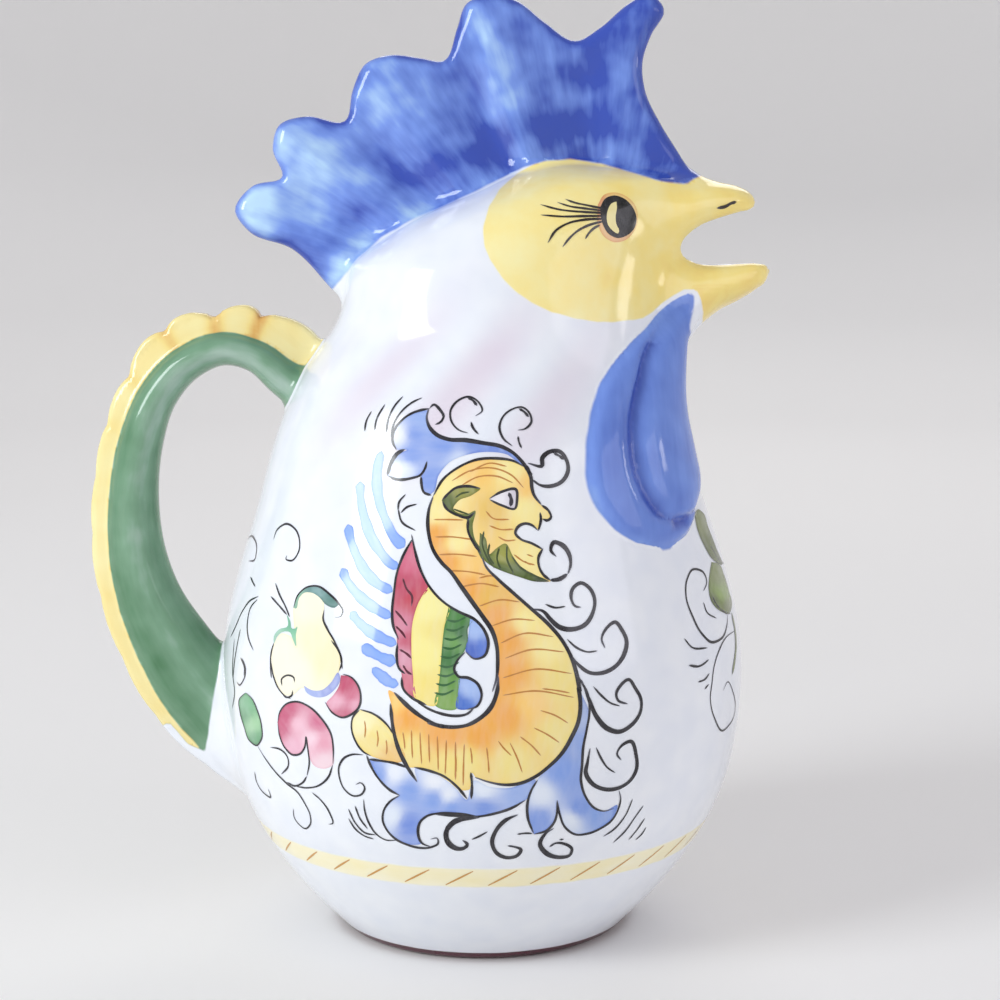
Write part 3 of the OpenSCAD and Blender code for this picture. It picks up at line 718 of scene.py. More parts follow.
# The band and the foot lie below this height.
BELOW_BELLY_Z = 40.0
on_foot = z < BELOW_BELLY_Z
foot_load = np.full(len(skin), 0.3)
for where, thickness, shows in (
        (on_wattle, wattle_load, 0.3),
        (on_face, face_load, 0.5),
        (on_handle, handle_load_and_highlight, 0.5),
        (on_handle & (painted["crest"] < 0), crest_load, 0.45),
        (on_foot, foot_load, 0.5)):
    load_and_painted_light[where] = thickness[where]
    streak[where] = shows

# The way of the brush, in millimetres across and along the stroke. Turns count on these radii.
FAN_R, WATTLE_TURN_R, STRAP_R = 52.0, 46.0, 7.0
fan = np.arctan2(x - FAN_X, z - FAN_Z)
brush = np.stack([fan * FAN_R, np.hypot(x - FAN_X, z - FAN_Z), y * 0.5], axis=1)
for where, way in (
        (on_face, [x * 0.5, z * 3, y * 0.5]),
        (on_wattle, [parts["turn"] * WATTLE_TURN_R, z, 0 * x]),
        (on_handle, [round_strap * STRAP_R, parts["along"], 0 * x]),
        (on_foot, [z, np.arctan2(y, x) * BELLY_R, 0 * x])):
    brush[where] = np.stack(way, axis=1)[where]
# Painted shade: the hollows of the neck's flutes get a pinkish grey, at most three quarters strong, where
# the flutes show.
flute = flute_at(parts["turn"], z) * -0.5 + 0.5
painted["flute"] = flute * np.clip(flute_reach(parts["turn"], z) * 1.1, 0, 0.75)
painted["load_and_painted_light"] = load_and_painted_light
painted["streak"] = streak

# The pieces of clay under the glaze, and the glaze that each is dipped or brushed in.
SLOTS = {"body_shell": "white_glaze", "foot_ring": "white_glaze", "head_shell": "white_glaze",
         "comb": "cobalt_glaze", "upper_beak": "yellow_glaze", "lower_beak": "yellow_glaze",
         "wattle_right": "cobalt_glaze", "wattle_left": "cobalt_glaze",
         "handle": "green_glaze", "handle_crest": "crest_glaze"}
# A face of the glaze belongs to the piece right under it. A piece that stands off the neck has its own
# glaze from this far out, and a wattle never reaches below this height.
UNDER, OFF_NECK, WATTLE_LOW_Z = 1.5, 2.2, 90.0

centre = skin[skin_quads].mean(axis=1)
seen = pieces_at(*centre.T)
is_inner = hollow_at(*centre.T)[0] < 1.0
node_under = np.full(len(centre), "head_shell", dtype="U16")
node_under[centre[:, 2] < SEAM_Z] = "body_shell"
node_under[centre[:, 2] < FOOT_H] = "foot_ring"
free = (seen["neck"] - seen["lift"] > OFF_NECK) & ~is_inner
above = seen["comb"] > seen["upper"]
node_under[free & (seen["comb"] < UNDER)] = "comb"
node_under[free & (seen["upper"] < UNDER) & (seen["upper"] < seen["lower"]) & above] = "upper_beak"
node_under[free & (seen["lower"] < UNDER) & (seen["lower"] <= seen["upper"])] = "lower_beak"
raised = (seen["lift"] > 0.5) & (seen["lobe"] > 0.4) & (seen["lower"] > 0.8)
raised &= ~is_inner & (centre[:, 2] > WATTLE_LOW_Z)
node_under[raised & (centre[:, 1] < 0)] = "wattle_right"
node_under[raised & (centre[:, 1] > 0)] = "wattle_left"
held = free & (np.minimum(seen["strap"], seen["crest"]) < UNDER)
node_under[held & (seen["strap"] <= seen["crest"])] = "handle"
node_under[held & (seen["strap"] > seen["crest"])] = "handle_crest"


def linear(hex_colour):
    """An sRGB hex value as linear red, green, blue."""
    parts = [int(hex_colour[k:k + 2], 16) / 255 for k in (1, 3, 5)]
    return [c / 12.92 if c <= 0.04045 else ((c + 0.055) / 1.055) ** 2.4 for c in parts]


def rgba(hex_colour):
    """The same with full cover, for a colour socket."""
    return linear(hex_colour) + [1.0]


def add(tree, kind, links=None, **settings):
    """Adds a shader node, sets it up, and fills its inputs with values or from other nodes."""
    node = tree.nodes.new("ShaderNode" + kind)
    for name, value in settings.items():
        setattr(node, name, value)
    for socket, source in (links or {}).items():
        if isinstance(source, bpy.types.Node):
            source = next(out for out in source.outputs if out.enabled)
        if isinstance(source, bpy.types.NodeSocket):
            tree.links.new(source, node.inputs[socket])
        else:
            node.inputs[socket].default_value = source
    return node


def new_material(name):
    """An empty node material and its tree."""
    material = bpy.data.materials.new(name)
    material.use_nodes = True
    tree = material.node_tree
    tree.nodes.clear()
    return material, tree


def finish_in_gloss(tree, colour, place_mm):
    """The clear lead-tin glaze over the colours: glass with a faint ripple from the kiln."""
    ripple = add(tree, "TexNoise", {"Vector": place_mm, "Scale": 1 / RIPPLE_MM, "Detail": 1.0})
    bump = add(tree, "Bump", {"Strength": 0.3, "Distance": 0.0004, "Height": ripple})
    shader = add(tree, "BsdfPrincipled",
                 {"Base Color": colour, "Roughness": 0.1, "IOR": 1.52, "Normal": bump})
    add(tree, "OutputMaterial", {0: shader})


def painted_tin_glaze():
    """Tin-glazed earthenware: oxides brushed over the raw white glaze and fired into it. The eye gets
    milky white with streaked, puddled colour, soft at its edges, under one even gloss."""
    material, tree = new_material("painted_tin_glaze")
    place = add(tree, "TexCoord").outputs["Object"]
    mm = add(tree, "VectorMath", {0: place, "Scale": 1000.0}, operation="SCALE")
    stroke = add(tree, "Attribute", attribute_name="brush").outputs["Vector"]
    drawn = add(tree, "VectorMath", {0: stroke, 1: (1.0, STROKE_SHARE, 1.0)}, operation="MULTIPLY")
    stroke_marks = add(tree, "TexNoise", {"Vector": drawn, "Scale": 1 / SWEEP_MM, "Detail": 1.5})
    bristle = add(tree, "TexNoise", {"Vector": drawn, "Scale": 1 / BRISTLE_MM, "Detail": 2.0})
    puddle = add(tree, "TexNoise", {"Vector": mm, "Scale": 1 / PUDDLE_MM, "Detail": 1.5})
    wave = -(SWEEP_SHOWS + BRISTLE_SHOWS + PUDDLE_SHOWS) / 2
    for marks, shows in ((stroke_marks, SWEEP_SHOWS), (bristle, BRISTLE_SHOWS), (puddle, PUDDLE_SHOWS)):
        wave = add(tree, "Math", {0: marks, 1: shows, 2: wave}, operation="MULTIPLY_ADD")
    streak = add(tree, "Attribute", attribute_name="streak").outputs["Fac"]
    # The load also carries the painted light and shade of the comb and the painted highlight of the handle.
    load_and_painted_light = add(tree, "Attribute", attribute_name="load_and_painted_light").outputs["Fac"]
    load_and_painted_light = add(tree, "Math", {0: wave, 1: streak, 2: load_and_painted_light}, operation="MULTIPLY_ADD")
    thin = add(tree, "MapRange", {0: load_and_painted_light, 1: 0.0, 2: 0.5, 3: 0.0, 4: 1.0})
    thick = add(tree, "MapRange", {0: load_and_painted_light, 1: 0.5, 2: 1.0, 3: 0.0, 4: 1.0})

    def oxide(bare, even, pooled):
        """One colour from where the brush ran dry to where it pooled."""
        first = add(tree, "Mix", {0: thin, 6: rgba(bare), 7: rgba(even)}, data_type="RGBA")
        return add(tree, "Mix", {0: thick, 6: first, 7: rgba(pooled)}, data_type="RGBA")

    edge_noise = add(tree, "TexNoise", {"Vector": mm, "Scale": 1 / WAVER_MM, "Detail": 1.0})

    def within(key, bleed, wander=0.5):
        """1 inside a painted area, from its signed distance in millimetres, with a hand-painted edge."""
        distance = add(tree, "Attribute", attribute_name=key).outputs["Fac"]
        shifted = add(tree, "Math", {0: edge_noise, 1: wander, 2: distance}, operation="MULTIPLY_ADD")
        edge = {0: shifted, 1: wander / 2 + bleed, 2: wander / 2 - bleed, 3: 0.0, 4: 1.0}
        return add(tree, "MapRange", edge, interpolation_type="SMOOTHSTEP")

    milk = add(tree, "MapRange", {0: puddle, 1: 0.3, 2: 0.7, 3: 0.0, 4: 1.0})
    colour = add(tree, "Mix", {0: milk, 6: rgba("#ECF0F8"), 7: rgba("#F3F6FB")}, data_type="RGBA")
    # Painted shade: a pinkish grey in the hollows of the neck's flutes.
    flute = add(tree, "Attribute", attribute_name="flute").outputs["Fac"]
    colour = add(tree, "Mix", {0: flute, 6: colour, 7: rgba("#E3D5E2")}, data_type="RGBA")
    sun = oxide("#FFF5B6", "#FFE78A", "#F3C468")
    cobalt = oxide("#C0E2FC", "#7798E6", "#3650B2")
    leaf = oxide("#C2D4CC", "#7AA284", "#45764F")
    butter = oxide("#F9EFB4", "#F5DD8E", "#DD9F4E")
    straw = oxide("#FFFBE4", "#FDF2C2", "#F4DD9C")
    for key, bleed, paint in (("band", 0.35, straw), ("yellow", 0.3, sun), ("cobalt", 0.4, cobalt),
                              ("green", 0.3, leaf), ("crest", 0.25, butter)):
        colour = add(tree, "Mix", {0: within(key, bleed), 6: colour, 7: paint}, data_type="RGBA")
    foot = within("foot_line", 0.15, 0.25)
    colour = add(tree, "Mix", {0: foot, 6: colour, 7: rgba("#552433")}, data_type="RGBA")
    finish_in_gloss(tree, colour, mm)
    return material


glaze = painted_tin_glaze()
for node, slot in SLOTS.items():
    chosen = skin_quads[node_under == node]
    used, quads = np.unique(chosen, return_inverse=True)
    quads = quads.reshape(chosen.shape)
    mesh = bpy.data.meshes.new(node + "_glaze")
    mesh.from_pydata((skin[used] * MM).tolist(), [], quads.tolist())
    for key, values in painted.items():
        channel = mesh.attributes.new(key, "FLOAT", "POINT")
        channel.data.foreach_set("value", values[used].astype(np.float32))
    strokes = mesh.attributes.new("brush", "FLOAT_VECTOR", "POINT")
    strokes.data.foreach_set("vector", brush[used].astype(np.float32).ravel())
    mesh.polygons.foreach_set("use_smooth", [True] * len(quads))
    mesh.normals_split_custom_set_from_vertices(skin_normal[used].tolist())
    mesh.materials.append(glaze)
    piece = bpy.data.objects.new("glazed_" + node, mesh)
    bpy.context.scene.collection.objects.link(piece)
    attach(piece, "root")
    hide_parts(node)

# A round pale sweep: a floor that turns up into a backdrop on every side.
SWEEP = [(0.9, 0.0), (1.2, 0.02), (1.45, 0.1), (1.65, 0.25), (1.78, 0.48), (1.85, 0.8), (1.86, 1.5)]
SWEEP_TURNS = 96
verts = [(r * math.cos(t), r * math.sin(t), z) for r, z in SWEEP
         for t in (math.tau * k / SWEEP_TURNS for k in range(SWEEP_TURNS))]
faces = [(j * SWEEP_TURNS + k, (j + 1) * SWEEP_TURNS + k,
          (j + 1) * SWEEP_TURNS + (k + 1) % SWEEP_TURNS, j * SWEEP_TURNS + (k + 1) % SWEEP_TURNS)
         for j in range(len(SWEEP) - 1) for k in range(SWEEP_TURNS)]
faces.append(tuple(range(SWEEP_TURNS)))
mesh = bpy.data.meshes.new("sweep")
mesh.from_pydata(verts, [], faces)
mesh.polygons.foreach_set("use_smooth", [True] * len(faces))
sweep = bpy.data.objects.new("sweep", mesh)
bpy.context.scene.collection.objects.link(sweep)
paper, tree = new_material("matt_paper")
shader = add(tree, "BsdfPrincipled", {"Base Color": rgba("#F4F2F0"), "Roughness": 0.9})
add(tree, "OutputMaterial", {0: shader})
mesh.materials.append(paper)

# How strong the light from all round is, and the middle of the pitcher, where the lamps look.
DAYLIGHT, AIM = 0.56, Vector((0, 0, 0.11))
world = bpy.data.worlds.new("studio")
bpy.context.scene.world = world
world.use_nodes = True
world.node_tree.nodes["Background"].inputs[0].default_value = rgba("#F3F4FA")
world.node_tree.nodes["Background"].inputs[1].default_value = DAYLIGHT


def soft_box(name, place, size, power, colour):
    """An area lamp that looks at the middle of the pitcher. Metres and watts."""
    lamp = bpy.data.lights.new(name, "AREA")
    lamp.shape = "RECTANGLE"
    lamp.size, lamp.size_y = size
    lamp.energy = power
    lamp.color = linear(colour)
    lamp_object = bpy.data.objects.new(name, lamp)
    lamp_object.location = place
    lamp_object.rotation_euler = (AIM - Vector(place)).to_track_quat("-Z", "Y").to_euler()
    bpy.context.scene.collection.objects.link(lamp_object)


soft_box("window", (-0.95, -0.62, 0.62), (0.45, 0.6), 8.4, "#F6FCFF")
soft_box("fill", (1.1, -0.8, 0.5), (0.8, 0.8), 2.6, "#F3F1FF")
soft_box("head light", (0.36, -0.09, 0.235), (0.045, 0.045), 0.03, "#FFF8F0")
soft_box("back", (0.2, 1.1, 0.9), (0.9, 0.6), 3.0, "#FFFFFF")

camera = bpy.data.cameras.new("camera")
camera.sensor_width = 36.0
camera.lens = FOCAL_PX / FRAME_PX * camera.sensor_width
camera_object = bpy.data.objects.new("camera", camera)
camera_object.location = EYE * MM
camera_object.rotation_mode = "QUATERNION"
camera_object.rotation_quaternion = Vector(FORWARD).to_track_quat("-Z", "Y")
bpy.context.scene.collection.objects.link(camera_object)
bpy.context.scene.camera = camera_object
bpy.context.scene.view_settings.view_transform = "Standard"


class View:
    """A part of the photograph's frame: its left and top edge in pixels, and its enlargement."""

    def __init__(self, left, top, scale):
        self.left, self.top, self.scale = left, top, scale

    def __call__(self, *flat):
        """Places in the frame, from x and y read in this view, over and over."""
        return [
            (self.left + x / self.scale, self.top + y / self.scale) for x, y in zip(flat[::2], flat[1::2])]

    def pools(self, *flat):
        """Places with the colour that pools there: x, y and colour, over and over."""
        return [(self(x, y)[0], shade) for x, y, shade in zip(flat[::3], flat[1::3], flat[2::3])]


BUST = View(340, 370, 4.6118)
PLUMES = View(220, 380, 5.2267)
SPRAY = View(180, 640, 5.2267)
TAIL = View(440, 660, 4.6118)
CHEST = View(480, 380, 5.2267)
FACE = View(460, 130, 4.48)
# The leaves on the chest are set a little nearer to the middle, where the glaze still faces the camera.
CHEST_SIDE = View(474, 380, 5.2267)

tree_skin = BVHTree.FromPolygons(skin.tolist(), skin_quads[~is_inner].tolist())


def onto_glaze(px, py):
    """The point of the near side of the glaze that a pixel shows, and the way out of the clay there. A
    pixel just past the outline is taken to the nearest glaze."""
    right, down = (px - FRAME_PX / 2) / FOCAL_PX, (py - FRAME_PX / 2) / FOCAL_PX
    ray = FORWARD + np.array([right, 0, 0]) - down * UPWARD
    hit, normal, _, _ = tree_skin.ray_cast(Vector(EYE), Vector(ray))
    if hit is None:
        reach = -(EYE[:2] @ ray[:2]) / (ray[:2] @ ray[:2])
        hit, normal, _, _ = tree_skin.find_nearest(Vector(EYE + ray * reach))
    return np.array(hit), np.array(normal)


# A light touch of the brush leaves a faint line. Lines are laid down in short steps, in millimetres.
FAINT = np.array(linear("#8A8CA0"))
LINE_STEP = 0.55


class Brushwork:
    """Collects flat marks that lie on the glaze, painted alike on both sides of the pitcher."""

    def __init__(self, name, material, lift):
        self.name, self.material, self.lift = name, material, lift
        self.points, self.faces, self.colours, self.edges, self.ways = [], [], [], [], []

    def ribbon(self, centre, normal, half, colours, origin, pace, level=0.0):
        """A strip of three rows of points along a line on the glaze, with its half width and colour at
        each step. Its brush marks start at an origin and go on by a pace for each step."""
        way = np.gradient(centre, axis=0)
        way /= np.linalg.norm(way, axis=1)[:, None] + 1e-9
        across = np.cross(normal, way)
        first = len(self.points)
        for k in range(len(centre)):
            for side in (-1, 0, 1):
                out = normal[k] * (self.lift + level)
                self.points.append(centre[k] + across[k] * half[k] * side + out)
                self.colours.append(colours[k])
                self.edges.append(0.0 if side else half[k])
                self.ways.append((side * half[k] + origin[0], k * pace + origin[1], 0))
        for a in range(first, first + 3 * len(centre) - 3, 3):
            self.faces += [(a, a + 3, a + 4, a + 1), (a + 1, a + 4, a + 5, a + 2)]

    def line(self, points, width, colour="#1E1B22", start=0.35, end=0.35, level=0.0, swell=0.0):
        """A brush line: width in millimetres, its share at each end, and how far a curl swells in its bend
        and ends in a knob."""
        line = curve(points, LINE_STEP * PX_PER_MM)
        centre, normal = (np.array(v) for v in zip(*(onto_glaze(*p) for p in line)))
        count = len(centre)
        if count < 3:
            return
        share = np.linspace(0, 1, count)
        press = np.minimum(1, np.minimum(start + share * 5, end + (1 - share) * 5))
        bend = np.sin(math.pi * share ** 0.75) ** 1.5
        press = press * (1 + swell * (1.15 * bend - 0.3)) + swell * 0.45 * hill(share - 0.965, 0.03)
        press = press * (1 + 0.13 * np.sin(share * 9 + count) + 0.05 * np.sin(share * 31 + count * 2))
        left = np.minimum(share, 1 - share) * count * LINE_STEP
        tip = np.sqrt(np.clip(left / width * 2.2, 0.02, 1))
        faint = np.clip((0.8 - press) * 0.9, 0, 0.45)[:, None]
        colours = np.array(linear(colour)) * (1 - faint) + FAINT * faint
        self.ribbon(centre, normal, width / 2 * press * tip, colours, line[0], LINE_STEP * 0.4, level)

    def lines(self, width, strokes, *touch, **more):
        """Several brush lines of one width, painted with the same touch."""
        for stroke in strokes:
            self.line(stroke, width, *touch, **more)

    def area(self, outline, pools, level=0.0, spacing=4.5):
        """A wash of colour inside an outline, with the places and colours where it pools."""
        ring = np.array(curve(outline + outline[:1], spacing * 0.6)[:-1, :2])
        low, high = ring.min(axis=0), ring.max(axis=0)
        xs, ys = np.meshgrid(np.arange(low[0], high[0], spacing), np.arange(low[1], high[1], spacing))
        xs = xs + (np.arange(len(xs)) % 2)[:, None] * spacing / 2
        inside = polygon_distance(xs.ravel(), ys.ravel(), ring) < -spacing * 0.45
        fill = np.stack([xs.ravel(), ys.ravel()], axis=1)[inside]
        coords = [Vector(p) for p in np.concatenate([ring, fill])]
        rim = [list(range(len(ring)))]
        flat, _, triangles, _, _, _ = geometry.delaunay_2d_cdt(coords, [], rim, 1, 1e-5)
        px = np.array([tuple(p) for p in flat])
        depth = np.maximum(-polygon_distance(*px.T, ring), 0) / PX_PER_MM
        weights = np.zeros((len(px), 1))
        colour = np.zeros((len(px), 3))
        for (ax, ay), shade in pools:
            w = 1 / (((px - [ax, ay]) ** 2).sum(axis=1) + 4.0)[:, None] ** 1.6
            weights += w
            colour += w * np.array(linear(shade))
        _, _, axes = np.linalg.svd(ring - ring.mean(axis=0), full_matrices=False)
        drawn = px @ axes.T / PX_PER_MM * [0.3, 1]
        first = len(self.points)
        for p, c, d, (along, across) in zip(px, colour / weights, depth, drawn):
            place, normal = onto_glaze(*p)
            self.points.append(place + normal * (self.lift + level))
            self.colours.append(c)
            self.edges.append(d)
            self.ways.append((across, along, 0))
        self.faces += [tuple(first + i for i in triangle) for triangle in triangles]

    def build(self):
        """Makes the piece, with the same marks on the far side of the pitcher."""
        count = len(self.points)
        points = np.array(self.points)
        mirrored = points * [1, -1, 1]
        faces = self.faces + [tuple(count + i for i in face[::-1]) for face in self.faces]
        mesh = bpy.data.meshes.new(self.name)
        mesh.from_pydata((np.concatenate([points, mirrored]) * MM).tolist(), [], faces)
        colours = np.tile(np.concatenate([np.array(self.colours), np.ones((count, 1))], axis=1), (2, 1))
        mesh.attributes.new("pigment", "FLOAT_COLOR", "POINT").data.foreach_set("color", colours.ravel())
        edges = np.tile(self.edges, 2).astype(np.float32)
        mesh.attributes.new("edge", "FLOAT", "POINT").data.foreach_set("value", edges)
        ways = np.tile(np.array(self.ways, float), (2, 1)).astype(np.float32)
        mesh.attributes.new("brush", "FLOAT_VECTOR", "POINT").data.foreach_set("vector", ways.ravel())
        mesh.polygons.foreach_set("use_smooth", [True] * len(faces))
        mesh.materials.append(self.material)
        piece = bpy.data.objects.new(self.name, mesh)
        bpy.context.scene.collection.objects.link(piece)
        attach(piece, "root")


def oxide_paint(name, dry, pooled):
    """Metal oxides brushed on the white glaze and fired into it: paler where the brush ran dry, and
    deeper where the colour pooled along an edge."""
    material, tree = new_material(name)
    place = add(tree, "TexCoord").outputs["Object"]
    mm = add(tree, "VectorMath", {0: place, "Scale": 1000.0}, operation="SCALE")
    stroke = add(tree, "Attribute", attribute_name="brush").outputs["Vector"]
    pigment = add(tree, "Attribute", attribute_name="pigment").outputs["Color"]
    edge = add(tree, "Attribute", attribute_name="edge").outputs["Fac"]
    cloud = add(tree, "TexNoise", {"Vector": stroke, "Scale": 1 / WASH_MM, "Detail": 2.0})
    hair = add(tree, "TexNoise", {"Vector": stroke, "Scale": 1 / HAIR_MM, "Detail": 1.0})
    wet = add(tree, "MapRange", {0: cloud, 1: 0.38, 2: 0.68, 3: 0.0, 4: dry})
    bare = add(tree, "MapRange", {0: hair, 1: 0.45, 2: 0.75, 3: 0.0, 4: dry * 0.5})
    both = add(tree, "Math", {0: wet, 1: bare}, operation="ADD")
    colour = add(tree, "Mix", {0: both, 6: pigment, 7: rgba("#F2F3F9")}, data_type="RGBA")
    pool = add(tree, "MapRange", {0: edge, 1: 0.0, 2: 0.6, 3: pooled, 4: 0.0})
    deep = add(tree, "Mix", {0: 1.0, 6: pigment, 7: pigment}, data_type="RGBA", blend_type="MULTIPLY")
    colour = add(tree, "Mix", {0: pool, 6: colour, 7: deep}, data_type="RGBA")
    finish_in_gloss(tree, colour, mm)
    return material


# How far the washes and the lines lie over the glaze, and a wash over the one before, in millimetres.
WASH_LIFT, INK_LIFT = 0.05, 0.1
SECOND_COAT, THIRD_COAT, TOP_COAT = 0.012, 0.02, 0.03
wash = oxide_paint("brushed_oxide_wash", 0.1, 0.4)
outline_paint = oxide_paint("manganese_brush_line", 0.04, 0.0)
washes = Brushwork("painted_washes", wash, WASH_LIFT)
ink = Brushwork("painted_lines", outline_paint, INK_LIFT)

# The winged figure: cap, face and neck, body, wing and acanthus, in washes.
CAP_BLUE, CAP_PALE = "#86A2E6", "#D4E0F6"
washes.area(
    BUST(410, 185, 375, 190, 320, 208, 280, 240, 252, 285, 245, 330, 265, 368, 310, 368, 262, 392,
         236, 430, 218, 487, 262, 503, 335, 498, 372, 484, 378, 540, 405, 578, 428, 566, 455, 486,
         508, 424, 590, 390, 690, 378, 770, 390, 840, 436, 835, 420, 795, 378, 740, 352, 660, 337,
         580, 324, 500, 320, 448, 302, 413, 266, 402, 222),
    BUST.pools(345, 300, CAP_BLUE, 270, 300, "#EEF3FC", 330, 395, CAP_BLUE, 300, 460, "#E4ECFA",
               410, 500, CAP_BLUE, 470, 340, CAP_BLUE, 620, 360, "#7B99E2", 560, 430, CAP_PALE,
               720, 385, "#8FA9E6", 380, 230, "#9DB6EC"))
OCHRE, SUNLIT, DEEP = "#FFD074", "#FFEE9E", "#F5AC4C"
figure = (
    BUST(430, 580, 475, 505, 545, 450, 630, 416, 720, 410, 800, 423, 855, 452, 880, 495, 884, 540,
         892, 572, 928, 625, 962, 652, 970, 682, 952, 694, 926, 690, 918, 738, 890, 716, 855, 708,
         822, 722, 808, 752, 830, 778, 885, 800, 930, 826, 915, 865, 917, 905, 938, 945, 972, 972,
         905, 975, 830, 955, 760, 932, 700, 905, 665, 880)
    + BUST(720, 955, 790, 1020, 880, 1098, 960, 1170, 1020, 1240, 1064, 1318, 1090, 1400, 1104, 1480)
    + TAIL(640, 130, 645, 205, 635, 285, 608, 352, 560, 430, 500, 490, 440, 535, 370, 565, 300, 573,
           225, 560, 165, 542, 150, 520, 138, 596)
    + SPRAY(1470, 785, 1400, 735, 1330, 695, 1255, 668, 1190, 662, 1145, 570, 1118, 470, 1110, 360,
            1092, 262, 1150, 300, 1210, 360, 1280, 410, 1350, 445, 1420, 456)
    + TAIL(30, 305, 70, 308, 125, 298, 182, 268, 230, 220, 258, 155, 270, 80)
    + BUST(725, 1340, 722, 1270, 700, 1200, 660, 1140, 610, 1070, 560, 1000, 510, 930, 470, 890,
           430, 830, 410, 760, 405, 700, 411, 640))
washes.area(
    figure,
    BUST.pools(500, 560, SUNLIT, 650, 470, OCHRE, 780, 470, SUNLIT, 860, 540, OCHRE, 850, 640, SUNLIT,
               700, 650, "#F0C970", 880, 860, SUNLIT, 440, 660, SUNLIT, 440, 760, DEEP,
               540, 800, SUNLIT, 500, 880, DEEP, 600, 900, OCHRE, 590, 1000, DEEP, 700, 1040, "#F0C060",
               720, 1130, DEEP, 860, 1160, SUNLIT, 780, 1250, DEEP, 960, 1290, SUNLIT, 780, 1400, DEEP,
               1040, 1400, "#F8E490")
    + TAIL.pools(300, 60, DEEP, 560, 120, "#F8E28A", 420, 200, OCHRE, 300, 260, DEEP,
                 540, 330, "#F8E490", 180, 350, DEEP, 330, 470, "#F8E490", 60, 350, DEEP,
                 120, 460, "#F8E48C")
    + SPRAY.pools(1350, 490, DEEP, 1200, 400, DEEP, 1130, 320, OCHRE, 1220, 570, "#F8E288",
                  1400, 640, "#F8E288"))
washes.area(
    BUST(330, 785, 292, 852, 266, 922, 254, 1000, 244, 1080, 240, 1150, 262, 1235, 262, 1320, 284, 1400,
         292, 1470, 345, 1512, 338, 1420, 330, 1300, 338, 1150, 368, 1062, 410, 1002, 378, 930,
         350, 850),
    BUST.pools(320, 880, "#D7708A", 300, 1000, "#C24E68", 340, 1060, "#C63F52", 290, 1180, "#D98AA0",
               320, 1250, "#C85A72", 290, 1330, "#DE9CB0", 320, 1450, "#D77C8C"),
    level=SECOND_COAT)
washes.area(
    BUST(408, 1000, 440, 1040, 505, 1092, 482, 1180, 472, 1260, 465, 1350, 456, 1450, 440, 1548,
         345, 1512, 338, 1420, 330, 1300, 338, 1150, 368, 1062),
    BUST.pools(420, 1100, "#FBF1A0", 390, 1300, "#FBF09A", 400, 1480, "#F8E486", 450, 1200, "#F6E58A"),
    level=SECOND_COAT)
washes.area(
    BUST(502, 1090, 560, 1120, 615, 1148, 590, 1190, 590, 1250, 572, 1300, 540, 1342, 528, 1385,
         552, 1420, 545, 1480, 538, 1562, 440, 1548, 456, 1450, 465, 1350, 472, 1260, 482, 1180),
    BUST.pools(530, 1150, "#4F8A45", 530, 1250, "#6FA455", 560, 1220, "#2F6A35", 500, 1330, "#3E7A3C",
               490, 1440, "#6A9C4C", 500, 1540, "#7FA84E"),
    level=SECOND_COAT)
for glow, lobe_outline in (
        ((625, 1200), BUST(600, 1148, 642, 1165, 672, 1212, 682, 1262, 662, 1318, 622, 1331,
                           580, 1298, 590, 1240)),
        ((600, 1470), BUST(548, 1420, 592, 1420, 632, 1446, 651, 1495, 636, 1545, 585, 1566,
                           540, 1562, 546, 1480))):
    washes.area(
        lobe_outline,
        BUST.pools(*glow, "#A9C2F2", 600, 1300, "#3C63C4", 560, 1540, "#3F6FCB", 665, 1290, "#4F76D2"),
        level=SECOND_COAT)
LEAF_BLUE, LEAF_PALE = "#84A4E8", "#E6EEFA"
washes.area(
    SPRAY(990, 625, 1060, 634, 1130, 646, 1190, 668, 1240, 735, 1228, 672, 1300, 690, 1380, 725,
          1440, 775, 1500, 835, 1520, 760)
    + TAIL(150, 560, 230, 585, 320, 590, 440, 552, 400, 640, 330, 682, 250, 710, 160, 722, 60, 712,
           -40, 700)
    + SPRAY(1440, 900, 1350, 900, 1290, 918, 1256, 950, 1243, 1010, 1262, 1062, 1200, 1068, 1130, 1040,
            1082, 990, 1062, 940, 1070, 885, 1105, 838, 1145, 812, 1100, 785, 1048, 735),
    SPRAY.pools(1040, 700, "#7FA0E6", 1120, 690, "#EEF3FC", 1190, 790, LEAF_BLUE, 1330, 740, "#F0F4FC",
                1330, 830, LEAF_BLUE, 1110, 920, "#E6EEFA", 1190, 960, "#7090E0", 1480, 880, "#8CA8E8")
    + TAIL.pools(60, 680, LEAF_BLUE, 200, 600, LEAF_PALE, 200, 680, "#7898E2", 370, 610, "#A0B8EC",
                 40, 620, "#EAF0FB"))
washes.area(
    TAIL(645, 140, 686, 240, 670, 350, 657, 480, 652, 560, 678, 632, 715, 682, 760, 694, 818, 668,
         800, 722, 740, 774, 660, 804, 600, 790, 560, 740, 540, 650, 524, 742, 490, 784, 436, 803,
         406, 730, 404, 660, 425, 600, 450, 552, 560, 432, 610, 350, 640, 250),
    TAIL.pools(660, 260, "#AFC0E6", 620, 400, "#93ACE4", 560, 520, LEAF_BLUE, 610, 560, "#86A4E6",
               470, 620, LEAF_PALE, 460, 740, "#7E9EE6", 640, 680, "#7C9CE4", 600, 740, LEAF_PALE,
               740, 725, "#88A8E8"))
